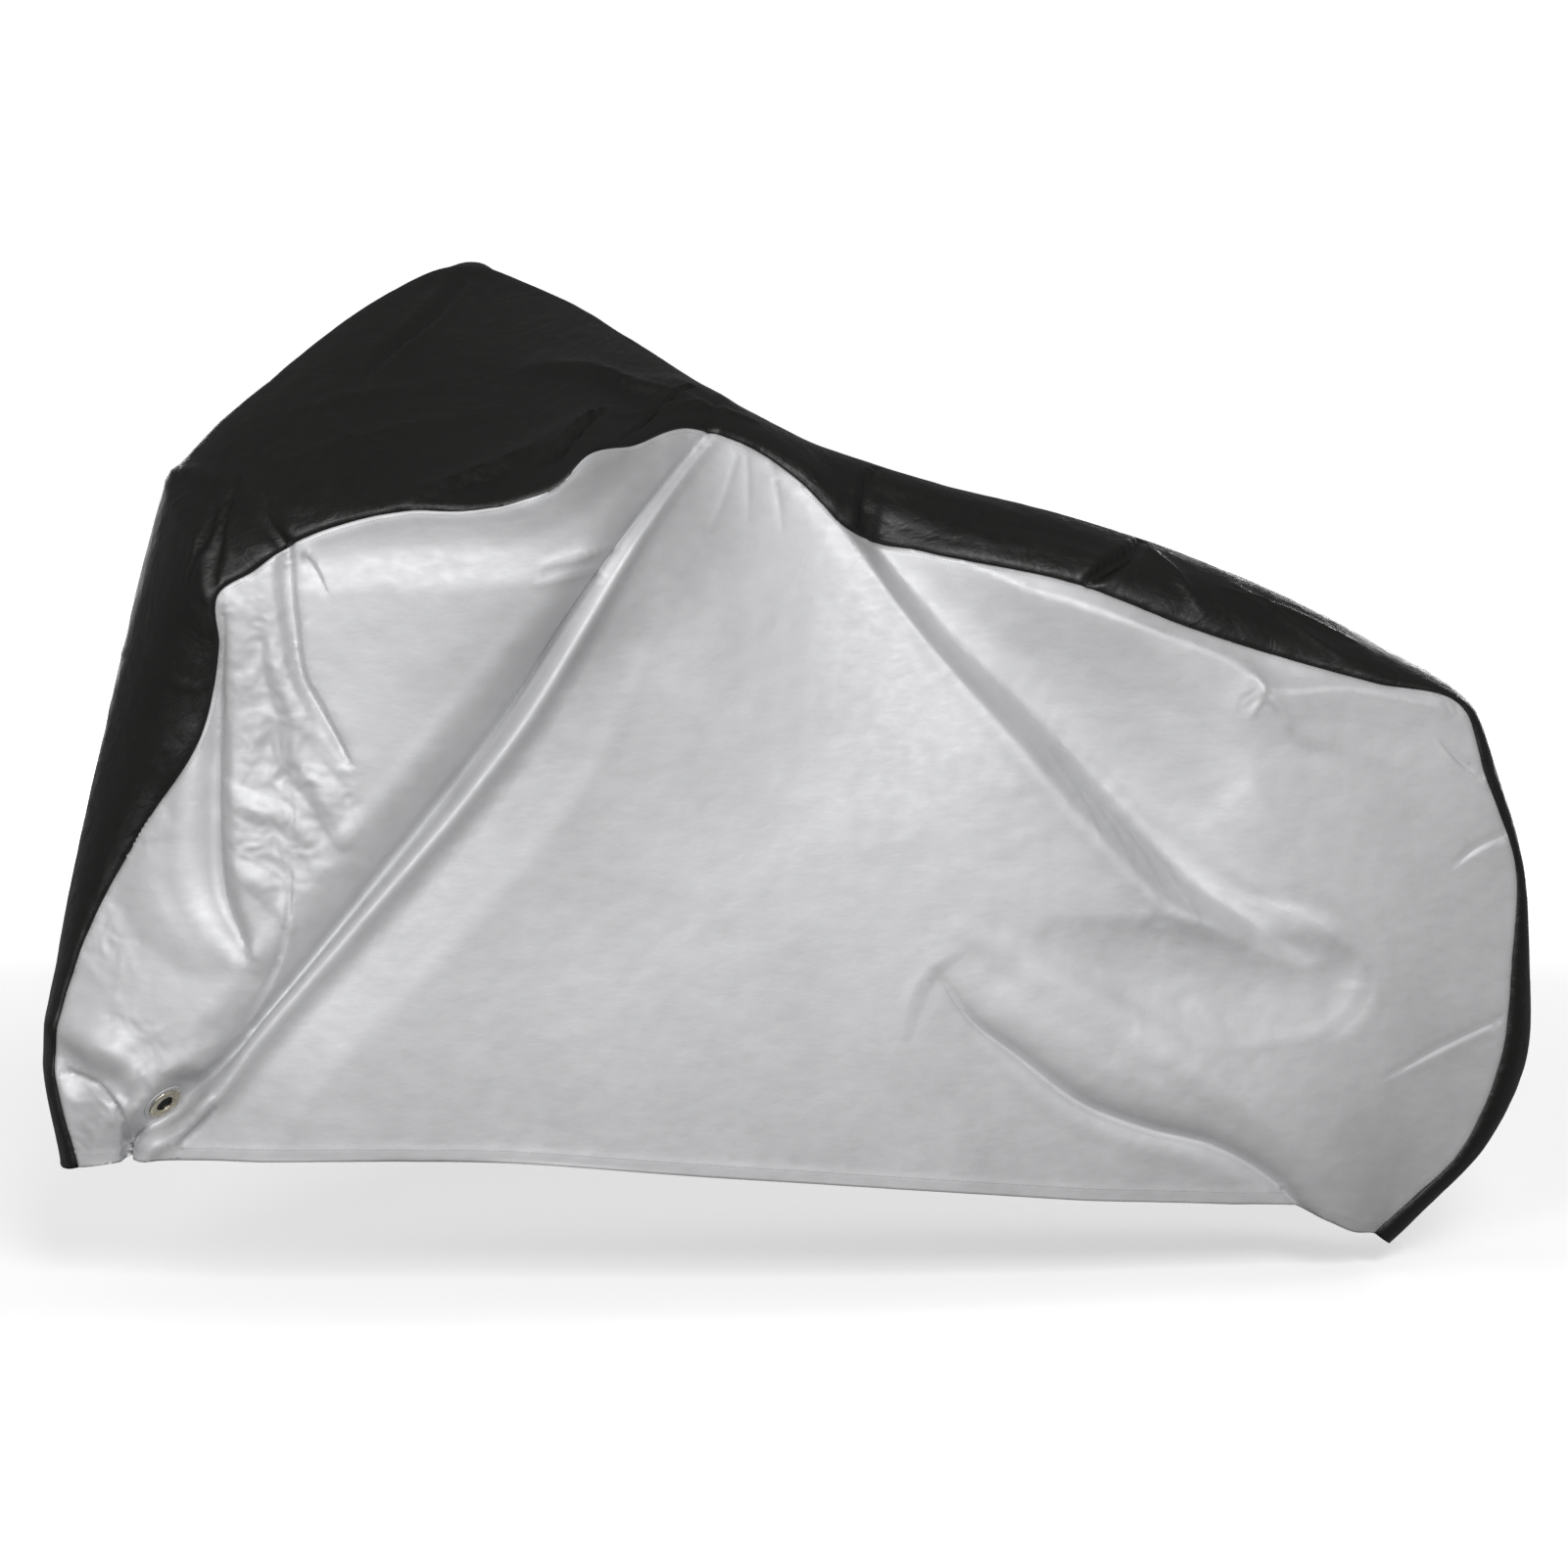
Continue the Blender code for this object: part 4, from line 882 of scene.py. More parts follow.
def panel_outline(side, seam, coarse_seam):
    """The panel's rim, how far its cloth stands out at flat places, and the count of its hem's own points."""
    hem_rows, hem = hem_line(side, seam, HEM_STEP)
    rim = np.concatenate([seam, hem[-2:0:-1]])
    body = columns(BODY_COLUMNS, BODY)
    support = np.concatenate([coarse_seam, hem_rows[1:-1]])
    flat = np.concatenate([support[:, [0, 2]], np.stack([body["x"], body["z"]], axis=1)])
    stand_out = thin_plate(flat, np.concatenate([support[:, 1] * side, body["out"]]))
    return rim, stand_out, len(hem) - 2


def panel_sheet(side, seam, coarse_seam, lines):
    """A light panel before its folds.

    Gives its points, with the rim first, its triangles, the eyelet's frame, which points are held
    in the eyelet's plane, and the count of the hem's own points.
    """
    rim, stand_out, hem_count = panel_outline(side, seam, coarse_seam)
    outline = rim[:, [0, 2]]
    frame = eyelet_frame(side)
    rings = np.concatenate([circle(frame, PANEL_HOLE_RADIUS), circle(frame, FLAT_RADIUS)])
    flat_rings = rings[:, [0, 2]]
    beside_rim = rim_rows(outline)
    kept = np.concatenate([outline, beside_rim, flat_rings])
    rows = fold_rows(lines, kept)
    kept = np.concatenate([kept, rows])
    low, high = outline.min(axis=0), outline.max(axis=0)
    fine = lattice(low, high, FINE_STEP)
    fine = spaced_out(kept, fine[crumple_amount(fine, side) > FINE_FROM], LATTICE_SPACING * FINE_STEP)
    kept = np.concatenate([kept, fine])
    step = PANEL_STEP[side]
    grid = spaced_out(kept, lattice(low, high, step), LATTICE_SPACING * step)

    inner = np.concatenate([flat_rings, beside_rim, rows, fine, grid])
    held = np.arange(len(inner)) < len(rings)
    added = np.stack([inner[:, 0], side * stand_out(inner), inner[:, 1]], axis=1)
    fits = inside(outline, inner) & (nearest(inner, outline)[0] > RIM_ROWS[0] * RIM_CLEARANCE)
    fits &= onto_plane(added, frame)[1] > CLEAR_RADIUS
    inner, added, held = (row[held | fits] for row in (inner, added, held))

    faces = triangulate(outline, inner)
    hole = len(outline) + np.arange(ROUND_STEPS)
    faces = faces[~np.isin(faces, hole).all(axis=1)]
    added[held] = rings
    points = np.concatenate([rim, added])
    held = np.concatenate([np.zeros(len(rim), bool), held])
    return points, facing_out(points, faces, side), frame, held, hem_count


def facing_out(points, faces, side):
    """The panel's triangles with their fronts on its own side."""
    a, b, c = (points[faces[:, corner]] for corner in range(3))
    wrong = np.cross(b - a, c - a)[:, 1] * side < 0
    faces = faces.copy()
    faces[wrong] = faces[wrong][:, ::-1]
    return faces


def point_normals(points, faces):
    normals = np.zeros_like(points)
    a, b, c = (points[faces[:, corner]] for corner in range(3))
    face_normals = np.cross(b - a, c - a)
    for corner in range(3):
        np.add.at(normals, faces[:, corner], face_normals)
    return unit(normals)


def strip_faces(rows, columns_across):
    """Triangles of the strip's grid, with their fronts outside."""
    index = np.arange(rows * columns_across).reshape(rows, columns_across)
    a, b = index[:-1, :-1].ravel(), index[1:, :-1].ravel()
    c, d = index[1:, 1:].ravel(), index[:-1, 1:].ravel()
    return np.concatenate([np.stack([a, b, c], axis=1), np.stack([a, c, d], axis=1)])


def thicken(points, faces, normals):
    """A closed thin solid, and the count of its outer faces. Those come first, then as many inner
    ones, then the rims between.
    """
    count = len(points)
    solid = np.concatenate([points, points - normals * CLOTH])
    edges = np.concatenate([faces[:, [0, 1]], faces[:, [1, 2]], faces[:, [2, 0]]])
    known = set(map(tuple, edges.tolist()))
    open_edges = [edge for edge in edges.tolist() if (edge[1], edge[0]) not in known]
    walls = []
    for a, b in open_edges:
        walls += [(b, a, b + count), (a, a + count, b + count)]
    return solid, [*faces.tolist(), *(faces[:, ::-1] + count).tolist(), *walls], len(faces)


# --- materials -------------------------------------------------------------------------------


class Nodes:
    """Short calls for building one material's node tree."""

    def __init__(self, name, colour, roughness, metallic=0.0):
        self.colour = colour
        self.material = bpy.data.materials.new(name)
        self.material.use_nodes = True
        self.tree = self.material.node_tree
        self.shader = self.tree.nodes["Principled BSDF"]
        self.shader.inputs["Base Color"].default_value = (*colour, 1.0)
        self.shader.inputs["Roughness"].default_value = roughness
        self.shader.inputs["Metallic"].default_value = metallic

    def add(self, kind, **settings):
        node = self.tree.nodes.new(kind)
        for name, value in settings.items():
            setattr(node, name, value)
        return node

    def link(self, source, target, output=0):
        self.tree.links.new(source.outputs[output], target)

    def fill(self, node, **values):
        """Sets the node's sockets by name, with _ for a space."""
        for name, value in values.items():
            node.inputs[name.replace("_", " ")].default_value = value
        return node

    def flat_place(self, scale=(1.0, 1.0, 1.0)):
        """The cloth's own flat coordinates, in metres, times the scale."""
        uv = self.add("ShaderNodeUVMap", uv_map="cloth")
        mapping = self.fill(self.add("ShaderNodeMapping", vector_type="POINT"), Scale=scale)
        self.link(uv, mapping.inputs["Vector"])
        return mapping

    def noise(self, source, scale, detail, roughness=0.55, distortion=0.0, output=0):
        node = self.add("ShaderNodeTexNoise")
        self.fill(node, Scale=scale, Detail=detail, Roughness=roughness, Distortion=distortion)
        self.link(source, node.inputs["Vector"], output)
        return node

    def object_noise(self, scale, detail):
        """Noise over the object's own coordinates."""
        return self.noise(self.add("ShaderNodeTexCoord"), scale, detail, 0.5, output=OBJECT_PLACE)

    def ranged(self, source, low, high, from_low=0.3, from_high=0.7, output=0):
        node = self.add("ShaderNodeMapRange")
        self.fill(node, From_Min=from_low, From_Max=from_high, To_Min=low, To_Max=high)
        self.link(source, node.inputs["Value"], output)
        return node

    def vary_colour(self, source, darkest, lightest):
        """The material's colour times a factor between the two."""
        share = self.ranged(source, 0.0, 1.0)
        node = self.add("ShaderNodeMix", data_type="RGBA")
        for number, factor in ((MIX_FIRST, darkest), (MIX_SECOND, lightest)):
            node.inputs[number].default_value = (*tinted(self.colour, factor), 1.0)
        self.link(share, node.inputs[0])
        self.link(node, self.shader.inputs["Base Color"], MIX_RESULT)

    def vary_roughness(self, source, low, high):
        self.link(self.ranged(source, low, high), self.shader.inputs["Roughness"])

    def bump(self, height, strength, distance, below=None):
        node = self.fill(self.add("ShaderNodeBump"), Strength=strength, Distance=distance)
        self.link(height, node.inputs["Height"])
        if below:
            self.link(below, node.inputs["Normal"])
        return node

    def weave(self, pitch):
        """Crossing threads of the given pitch, as a height."""
        place_node = self.flat_place()
        waves = []
        for direction in ("X", "Y"):
            wave = self.add("ShaderNodeTexWave", wave_type="BANDS", bands_direction=direction)
            self.fill(wave, Scale=1.0 / (pitch * WAVE_RATE / (2 * math.pi) * 2))
            self.link(place_node, wave.inputs["Vector"])
            waves.append(wave)
        crossing = self.add("ShaderNodeMath", operation="MULTIPLY")
        for number, wave in enumerate(waves):
            self.link(wave, crossing.inputs[number])
        return crossing

    def finish(self, normal):
        self.link(normal, self.shader.inputs["Normal"])
        return self.material


def tinted(colour, factor):
    return tuple(channel * factor for channel in colour)


def silver_cloth():
    """Satin silver coating with fine crinkles over a close weave."""
    nodes = Nodes("silver_coating", SILVER, roughness=0.60, metallic=0.42)
    place_node = nodes.flat_place()
    blotches = nodes.noise(place_node, scale=9.0, detail=5.0, roughness=0.65)
    nodes.vary_colour(blotches, darkest=0.93, lightest=1.05)
    stretched = nodes.flat_place((0.55, 1.0, 1.0))
    crinkle = nodes.noise(stretched, scale=80.0, detail=4.0, roughness=0.55, distortion=0.2)
    nodes.vary_roughness(crinkle, low=0.54, high=0.66)
    stretched = nodes.flat_place((0.6, 1.0, 1.0))
    creases = nodes.noise(stretched, scale=22.0, detail=3.0, roughness=0.5, distortion=0.3)
    grain = nodes.noise(place_node, scale=260.0, detail=2.0)
    woven = nodes.bump(nodes.weave(pitch=0.0008), strength=0.15, distance=0.0001)
    grained = nodes.bump(grain, strength=0.20, distance=0.0003, below=woven)
    crinkled = nodes.bump(crinkle, strength=0.30, distance=0.0009, below=grained)
    return nodes.finish(nodes.bump(creases, strength=0.30, distance=0.0022, below=crinkled))


def inside_cloth(name, colour):
    """The uncoated inner face."""
    nodes = Nodes(name, colour, roughness=0.75)
    nodes.vary_colour(nodes.noise(nodes.flat_place(), scale=14.0, detail=3.0), darkest=0.88, lightest=1.1)
    return nodes.finish(nodes.bump(nodes.weave(pitch=0.0009), strength=0.3, distance=0.0002))


def black_cloth():
    """Dark woven cloth with a faint brown bloom and a dull shine."""
    nodes = Nodes("black_coating", BLACK, roughness=0.58)
    nodes.shader.inputs["Specular IOR Level"].default_value = 0.45
    place_node = nodes.flat_place()
    blotches = nodes.noise(place_node, scale=6.0, detail=4.0, roughness=0.6)
    nodes.vary_colour(blotches, darkest=0.80, lightest=1.25)
    crinkle = nodes.noise(place_node, scale=60.0, detail=4.0, roughness=0.6, distortion=0.8)
    nodes.vary_roughness(crinkle, low=0.38, high=0.54)
    creases = nodes.noise(place_node, scale=22.0, detail=3.0, roughness=0.5, distortion=1.4)
    woven = nodes.bump(nodes.weave(pitch=0.0009), strength=0.25, distance=0.0002)
    crinkled = nodes.bump(crinkle, strength=0.50, distance=0.0014, below=woven)
    return nodes.finish(nodes.bump(creases, strength=0.60, distance=0.0036, below=crinkled))


def eyelet_metal():
    """Pressed metal, pale and slightly dulled."""
    nodes = Nodes("eyelet_plating", METAL, roughness=0.28, metallic=1.0)
    dull = nodes.object_noise(scale=160.0, detail=4.0)
    nodes.vary_roughness(dull, low=0.20, high=0.42)
    nodes.vary_colour(dull, darkest=0.75, lightest=1.1)
    return nodes.finish(nodes.bump(dull, strength=0.12, distance=0.0003))


def thread(name, colour):
    nodes = Nodes(name, colour, roughness=0.6)
    ply = nodes.object_noise(scale=2400.0, detail=2.0)
    nodes.vary_colour(ply, darkest=0.7, lightest=1.2)
    return nodes.finish(nodes.bump(ply, strength=0.4, distance=0.0001))


# --- pieces ----------------------------------------------------------------------------------


def add_mesh(name, points, faces, finishes, flat=None, inner_from=None):
    mesh = bpy.data.meshes.new(name)
    mesh.from_pydata(place(points).tolist(), [], faces)
    for finish in finishes:
        mesh.materials.append(finish)
    if inner_from:
        index = np.zeros(len(faces), np.int32)
        index[inner_from : 2 * inner_from] = 1
        mesh.polygons.foreach_set("material_index", index)
    if flat is not None:
        layer = mesh.uv_layers.new(name="cloth")
        corners = np.zeros(len(mesh.loops), np.int32)
        mesh.loops.foreach_get("vertex_index", corners)
        layer.data.foreach_set("uv", flat[corners].astype(np.float32).ravel())
    mesh.shade_smooth()
    obj = bpy.data.objects.new(name, mesh)
    bpy.context.scene.collection.objects.link(obj)
    return obj


def turned(frame, profile):
    """A ring turned around the eyelet's axis from a closed profile of (radius, lift) points."""
    points = np.concatenate([circle(frame, radius, lift) for radius, lift in profile])
    count = len(profile)
    index = np.arange(count * ROUND_STEPS).reshape(count, ROUND_STEPS)
    beside, above = np.roll(index, -1, axis=1), np.roll(index, -1, axis=0)
    corner = np.roll(above, -1, axis=1)
    a, b, c, d = index.ravel(), beside.ravel(), corner.ravel(), above.ravel()
    return points, np.concatenate([np.stack([a, b, c], axis=1), np.stack([a, c, d], axis=1)]).tolist()


def rounded(start, end, centre, steps=6):
    """Points on a quarter ellipse about the centre, from start to end."""
    angle = np.linspace(0.0, math.pi / 2, steps)
    start, end, centre = (np.array(p, float) for p in (start, end, centre))
    return [tuple(centre + (start - centre) * math.cos(a) + (end - centre) * math.sin(a)) for a in angle]


def patch_profile(neck, top):
    """The patch's section, with its stitches' groove near the rim."""
    soft = PATCH_CLOTH * PATCH_SOFTNESS
    rim, edge, middle = PATCH_RADIUS, PATCH_RADIUS - 2 * soft, GAP + soft
    return [
        (neck + GAP, GAP),
        (rim - soft / 2, GAP),
        *rounded((rim, middle), (edge, top), (edge, middle)),
        (PATCH_STITCH_RADIUS + PATCH_GROOVE, top),
        (PATCH_STITCH_RADIUS, top - PATCH_GROOVE_DEPTH),
        (PATCH_STITCH_RADIUS - PATCH_GROOVE, top),
        (neck + GAP, top),
    ]


def ring_profile(neck, front):
    """The ring's section: the back flange, the neck and the rounded front flange."""
    back, peak = RING_BACK_RADIUS, front + RING_RISE
    crest, edge = (RING_RADIUS + neck) / 2, front + RING_EDGE
    inner = crest - RING_FLAT
    return [
        (HOLE_RADIUS, -FLANGE),
        (back - RING_BACK_EDGE, -FLANGE),
        (back, -FLANGE * RING_BACK_SLOPE),
        (back, 0.0),
        (neck, 0.0),
        (neck, front),
        (RING_RADIUS - RING_EDGE, front),
        *rounded((RING_RADIUS, edge), (crest, peak), (crest, edge), RING_CURVE_STEPS),
        *rounded((inner, peak), (HOLE_RADIUS, front), (inner, front), RING_CURVE_STEPS),
    ]


def make_eyelet(frame, label, cloth, metal, light_thread):
    """The patch lies on the panel, and the ring's flanges hold the patch between them."""
    neck = HOLE_RADIUS + RING_WALL
    top = GAP + PATCH_CLOTH
    centre, first, second, outside = frame
    points, faces = turned(frame, patch_profile(neck, top))
    across = np.stack([(points - centre) @ first, (points - centre) @ second], axis=1)
    piece = add_mesh(f"patch_{label}", points, faces, [cloth], across)
    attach(piece, "root")
    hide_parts(f"eyelet_patch_{label}")

    points, faces = turned(frame, ring_profile(neck, top + GAP))
    piece = add_mesh(f"ring_{label}", points, faces, [metal])
    piece.data.set_sharp_from_angle(angle=math.radians(RING_SHARP_ANGLE))
    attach(piece, "root")
    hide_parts(f"eyelet_ring_{label}")

    path = circle(frame, PATCH_STITCH_RADIUS, top, PATCH_STITCH_POINTS)
    path = np.concatenate([path, path[:1]])
    line = (path, np.repeat(outside[None, :], len(path), axis=0))
    add_stitches(f"patch_stitches_{label}", [line], light_thread)


def stitch_faces(base):
    """The faces of one stitch, whose points start at the base."""
    count = len(STITCH_RINGS)
    faces = []
    for ring in range(count - 1):
        for k in range(STITCH_SIDES):
            a = base + ring * STITCH_SIDES + k
            b = base + ring * STITCH_SIDES + (k + 1) % STITCH_SIDES
            faces.append((a, b, b + STITCH_SIDES, a + STITCH_SIDES))
    last = base + (count - 1) * STITCH_SIDES
    faces.append(tuple(base + k for k in reversed(range(STITCH_SIDES))))
    faces.append(tuple(last + k for k in range(STITCH_SIDES)))
    return faces


def add_stitches(name, lines, finish):
    """One short thread for each stitch along lines of points with their outward normals."""
    turn = np.arange(STITCH_SIDES) * 2 * math.pi / STITCH_SIDES
    points, faces = [], []
    for path, normals in lines:
        along = distances_along(path)
        middles = np.arange(STITCH_PITCH / 2, along[-1], STITCH_PITCH)
        centres = between(along, path, middles)
        ahead = unit(np.gradient(centres, axis=0))
        across = unit(np.cross(ahead, between(along, normals, middles)))
        for centre, forward, sideways, out in zip(centres, ahead, across, np.cross(across, ahead)):
            faces += stitch_faces(len(points))
            for ring, width in STITCH_RINGS:
                lift = STITCH_RADIUS * (STITCH_LIFT - STITCH_SINK * abs(ring))
                middle = centre + forward * ring * STITCH_LENGTH / 2 + out * lift
                radius = STITCH_RADIUS * width
                points += [middle + radius * (math.cos(t) * sideways + math.sin(t) * out) for t in turn]
    piece = add_mesh(name, points, faces, [finish])
    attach(piece, "root")
    return piece


def edge_path(points, normals, tree, side, from_edge):
    """A line on the cloth at a distance from its edge, with the cloth's normals there."""
    inward = unit(np.cross(normals, np.gradient(points, axis=0)) * side)
    found = [tree.find_nearest(Vector(p)) for p in points + inward * from_edge]
    return np.array([f[0] for f in found]), np.array([f[1] for f in found])


def edge_places(points, edge):
    """Each point's distance from the edge, and how far along the edge its nearest point is."""
    distance, number = nearest(points, edge)
    return distance, distances_along(edge)[number]


def groove_and_puckers(distance, along):
    groove = -GROOVE_DEPTH * bell(distance, GROOVE_WIDTH)
    puckers = PUCKER_HEIGHT * noise_along(along, PUCKER_SIZE, 0.37)
    return groove + puckers * np.exp(-distance / PUCKER_REACH)


def hem_heights(points, hem):
    distance, along = edge_places(points, hem)
    band = HEM_STEP_UP * (1 - ease((distance - HEM_BAND) / HEM_EDGE + 0.5))
    return band + RIPPLE_HEIGHT * noise_along(along, RIPPLE_SIZE, 9.73) * bell(distance, RIPPLE_REACH)


def crumple_amount(flat, side):
    """How high the crumples are at each place of a light panel."""
    table = columns(CRUMPLE_COLUMNS, CRUMPLES)
    height = np.full(len(flat), WRINKLE_HEIGHT)
    if side < 0:
        for x, z, reach, most in zip(*(table[name] for name in CRUMPLE_COLUMNS)):
            height += most * np.exp(-(((flat[:, 0] - x) ** 2 + (flat[:, 1] - z) ** 2) / reach**2))
    return height


def everywhere(points):
    """The slack and the fine wrinkles that all the cloth has."""
    slack = SLACK_HEIGHT * soft_noise(points, SLACK_SIZE, 2.9)
    return slack + WRINKLE_HEIGHT * soft_noise(points, WRINKLE_SIZE, 7.7)


def whole_sheet(grid):
    """One sheet of strip and panels, which share their points along the seams.

    Gives its points, its triangles and the panels. A panel's index tells where its own points are
    in the sheet, starting with those of its seam.
    """
    rows, across = grid.shape[:2]
    coarse_near, _, coarse_far, _ = strip_sections(COARSE_STEP)
    sheet, joined, panels = grid.reshape(-1, 3), [strip_faces(rows, across)], []
    for side, folds, creases, column, coarse in (
        (NEAR, NEAR_FOLDS, NEAR_CREASES, 0, coarse_near),
        (FAR, FAR_FOLDS, FAR_CREASES, across - 1, coarse_far),
    ):
        large, small = bends(folds, creases)
        points, faces, frame, held, hem_count = panel_sheet(side, grid[:, column], coarse, small + large)
        new = len(sheet) + np.arange(len(points) - rows)
        index = np.concatenate([np.arange(rows) * across + column, new])
        panels.append(SimpleNamespace(
            side=side, label=LABELS[side], folds=large, creases=small, column=column, frame=frame,
            faces=faces, held=held, index=index, seam=index[:rows], own=index[rows:],
            hem=index[rows : rows + hem_count],
        ))
        sheet = np.concatenate([sheet, points[rows:]])
        joined.append(index[faces])
    return sheet, np.concatenate(joined), panels


def add_large_folds(grid, sheet, joined, panels):
    """The sheet with the folds that the solids have."""
    normals = point_normals(sheet, joined)
    directions = normals.copy()
    heights = np.zeros(len(sheet))
    strip_heights = strip_fold_heights(grid, STRIP_STEP)
    for panel in panels:
        places = sheet[panel.index]
        directions[panel.index] = straight_out(normals[panel.index], places, panel.frame, panel.side)
        heights[panel.index] = bend_heights(places[:, [0, 2]], panel.folds)
        distance = np.linalg.norm(grid - grid[:, [panel.column]], axis=2)
        strip_heights += heights[panel.seam][:, None] * bell(distance, SEAM_FOLD_REACH)
    for panel in panels:
        strip_heights[:, panel.column] = heights[panel.seam]
    heights[: strip_heights.size] = strip_heights.ravel()
    folded = sheet + directions * heights[:, None]
    for panel in panels:
        free, held = panel.own[~panel.held[len(panel.seam) :]], panel.index[panel.held]
        folded[free] = flatten_around(folded[free], panel.frame)
        folded[held] = sheet[held]
    return folded


def lay_flat(grid):
    """The strip's points as distances along its near seam and across from it."""
    rows, across = grid.shape[:2]
    steps = np.linalg.norm(np.diff(grid, axis=1), axis=2)
    from_seam = np.concatenate([np.zeros((rows, 1)), np.cumsum(steps, axis=1)], axis=1)
    along = np.repeat(distances_along(grid[:, 0])[:, None], across, axis=1)
    return np.stack([along, from_seam], axis=2)


def strip_crease_heights(flat):
    """The heights of the strip's creases, whose lines are first laid flat too."""
    rows, across = flat.shape[:2]
    creases = []
    for form, height, width, line in STRIP_CREASES:
        flat_line = []
        for along, share, strength in line:
            along /= MILLIMETRES
            row = min(round(along / STRIP_STEP), rows - 1)
            column = min(round(strip_column(share)), across - 1)
            flat_line.append((along, flat[row, column, 1], strength))
        creases.append((flat_line, crease_profile(form, height, width)))
    return bend_heights(flat.reshape(-1, 2), creases)


def add_small_folds(folded, sheet, joined, panels, flat):
    """The folded sheet with creases, crumples, puckered seams and rippled hems."""
    count = flat.shape[0] * flat.shape[1]
    column = np.arange(count) % flat.shape[1]
    small = everywhere(folded)
    small[:count] += strip_crease_heights(flat)
    small[:count] += STRIP_CRUMPLE_HEIGHT * crumpled(folded[:count], STRIP_CRUMPLE_SIZE)
    for panel in panels:
        seam = folded[panel.seam]
        hem = np.concatenate([seam[-1:], folded[panel.hem], seam[:1]])
        own = panel.own
        places, flat_places = folded[own], sheet[own][:, [0, 2]]
        small[own] += bend_heights(flat_places, panel.creases)
        small[own] += crumple_amount(flat_places, panel.side) * crumpled(places, CRUMPLE_SIZE)
        small[own] += groove_and_puckers(*edge_places(places, seam))
        small[own] += hem_heights(places, hem)
        beside = np.flatnonzero(np.abs(column - panel.column) < SEAM_COLUMNS)
        small[beside] += groove_and_puckers(*edge_places(folded[beside], seam))
        small[panel.index] *= clear_of_eyelet(onto_plane(folded[panel.index], panel.frame)[1])
    return folded + point_normals(folded, joined) * small[:, None]


def half_gaps(panel, points, normals):
    """The steps from a panel's seam line to its own edge, half a gap away."""
    back = np.cross(normals[panel.seam], np.gradient(points[panel.seam], axis=0)) * panel.side
    return back * (GAP / 2 / np.linalg.norm(back, axis=1)[:, None])


def make_panel(panel, points, normals, finishes):
    rows = len(panel.seam)
    cloth = points[panel.index].copy()
    cloth[:rows] += half_gaps(panel, points, normals)
    solid, faces, outer = thicken(cloth, panel.faces, normals[panel.index])
    flat = np.concatenate([cloth[:, [0, 2]]] * 2)
    both = [finishes.silver, finishes.silver_inside]
    piece = add_mesh(f"panel_{panel.label}", solid, faces, both, flat, outer)
    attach(piece, "root")
    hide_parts(f"side_panel_{panel.label}")
    tree = BVHTree.FromPolygons(cloth.tolist(), panel.faces.tolist())
    lines = [
        edge_path(cloth[:rows], normals[panel.seam], tree, panel.side, SEAM_STITCH_FROM_EDGE),
        edge_path(points[panel.hem], normals[panel.hem], tree, panel.side, HEM_STITCH_FROM_EDGE),
    ]
    add_stitches(f"stitches_{panel.label}", lines, finishes.light_thread)
    make_eyelet(panel.frame, panel.label, finishes.silver, finishes.metal, finishes.light_thread)


def make_strip(points, normals, flat, finishes):
    cloth, triangles = points.reshape(-1, 3), strip_faces(*points.shape[:2])
    solid, faces, outer = thicken(cloth, triangles, normals.reshape(-1, 3))
    flat = np.concatenate([flat.reshape(-1, 2)] * 2)
    piece = add_mesh("strip", solid, faces, [finishes.black, finishes.black_inside], flat, outer)
    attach(piece, "root")
    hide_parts("centre_strip")
    tree = BVHTree.FromPolygons(cloth.tolist(), triangles.tolist())
    lines = [
        edge_path(points[:, 0], normals[:, 0], tree, 1, SEAM_STITCH_FROM_EDGE),
        edge_path(points[:, -1], normals[:, -1], tree, -1, SEAM_STITCH_FROM_EDGE),
        edge_path(points[0], normals[0], tree, 1, HEM_STITCH_FROM_EDGE),
        edge_path(points[-1], normals[-1], tree, -1, HEM_STITCH_FROM_EDGE),
    ]
    add_stitches("stitches_strip", lines, finishes.dark_thread)


def make_cover():
    finishes = SimpleNamespace(
        silver=silver_cloth(),
        black=black_cloth(),
        silver_inside=inside_cloth("silver_inside", SILVER_INSIDE),
        black_inside=inside_cloth("black_inside", tinted(BLACK, 1.6)),
        metal=eyelet_metal(),
        light_thread=thread("light_thread", THREAD_LIGHT),
        dark_thread=thread("dark_thread", THREAD_DARK),
    )
    grid = strip_grid(STRIP_STEP, STRIP_NEAR_STEPS, STRIP_FAR_STEPS)
    sheet, joined, panels = whole_sheet(grid)
    flat = lay_flat(grid)
    points = add_large_folds(grid, sheet, joined, panels)
    points = add_small_folds(points, sheet, joined, panels, flat)
    normals = point_normals(points, joined)

    # The strip's edges step back half a gap from the seam lines, and the panels' do the same.
    count = grid.shape[0] * grid.shape[1]
    strip_points = points[:count].reshape(grid.shape).copy()
    for panel in panels:
        strip_points[:, panel.column] -= half_gaps(panel, points, normals)
        make_panel(panel, points, normals, finishes)
    make_strip(strip_points, normals[:count].reshape(grid.shape), flat, finishes)


# --- stage -----------------------------------------------------------------------------------


def back_vector(azimuth, elevation):
    """From the target towards the viewer."""
    a, e = math.radians(azimuth), math.radians(elevation)
    return Vector((math.sin(a) * math.cos(e), -math.cos(a) * math.cos(e), math.sin(e)))


def aim(obj, target):
    obj.rotation_euler = (obj.location - target).to_track_quat("Z", "Y").to_euler()


def add_stage(mesh, nodes):
    """Something that glows white and lights nothing, and that isn't part of the object."""
    mesh.materials.append(nodes.material)
    nodes.shader.inputs["Emission Color"].default_value = WHITE
    obj = bpy.data.objects.new(mesh.name, mesh)
    bpy.context.scene.collection.objects.link(obj)
    obj.visible_diffuse = False
    obj.visible_glossy = False
    return obj


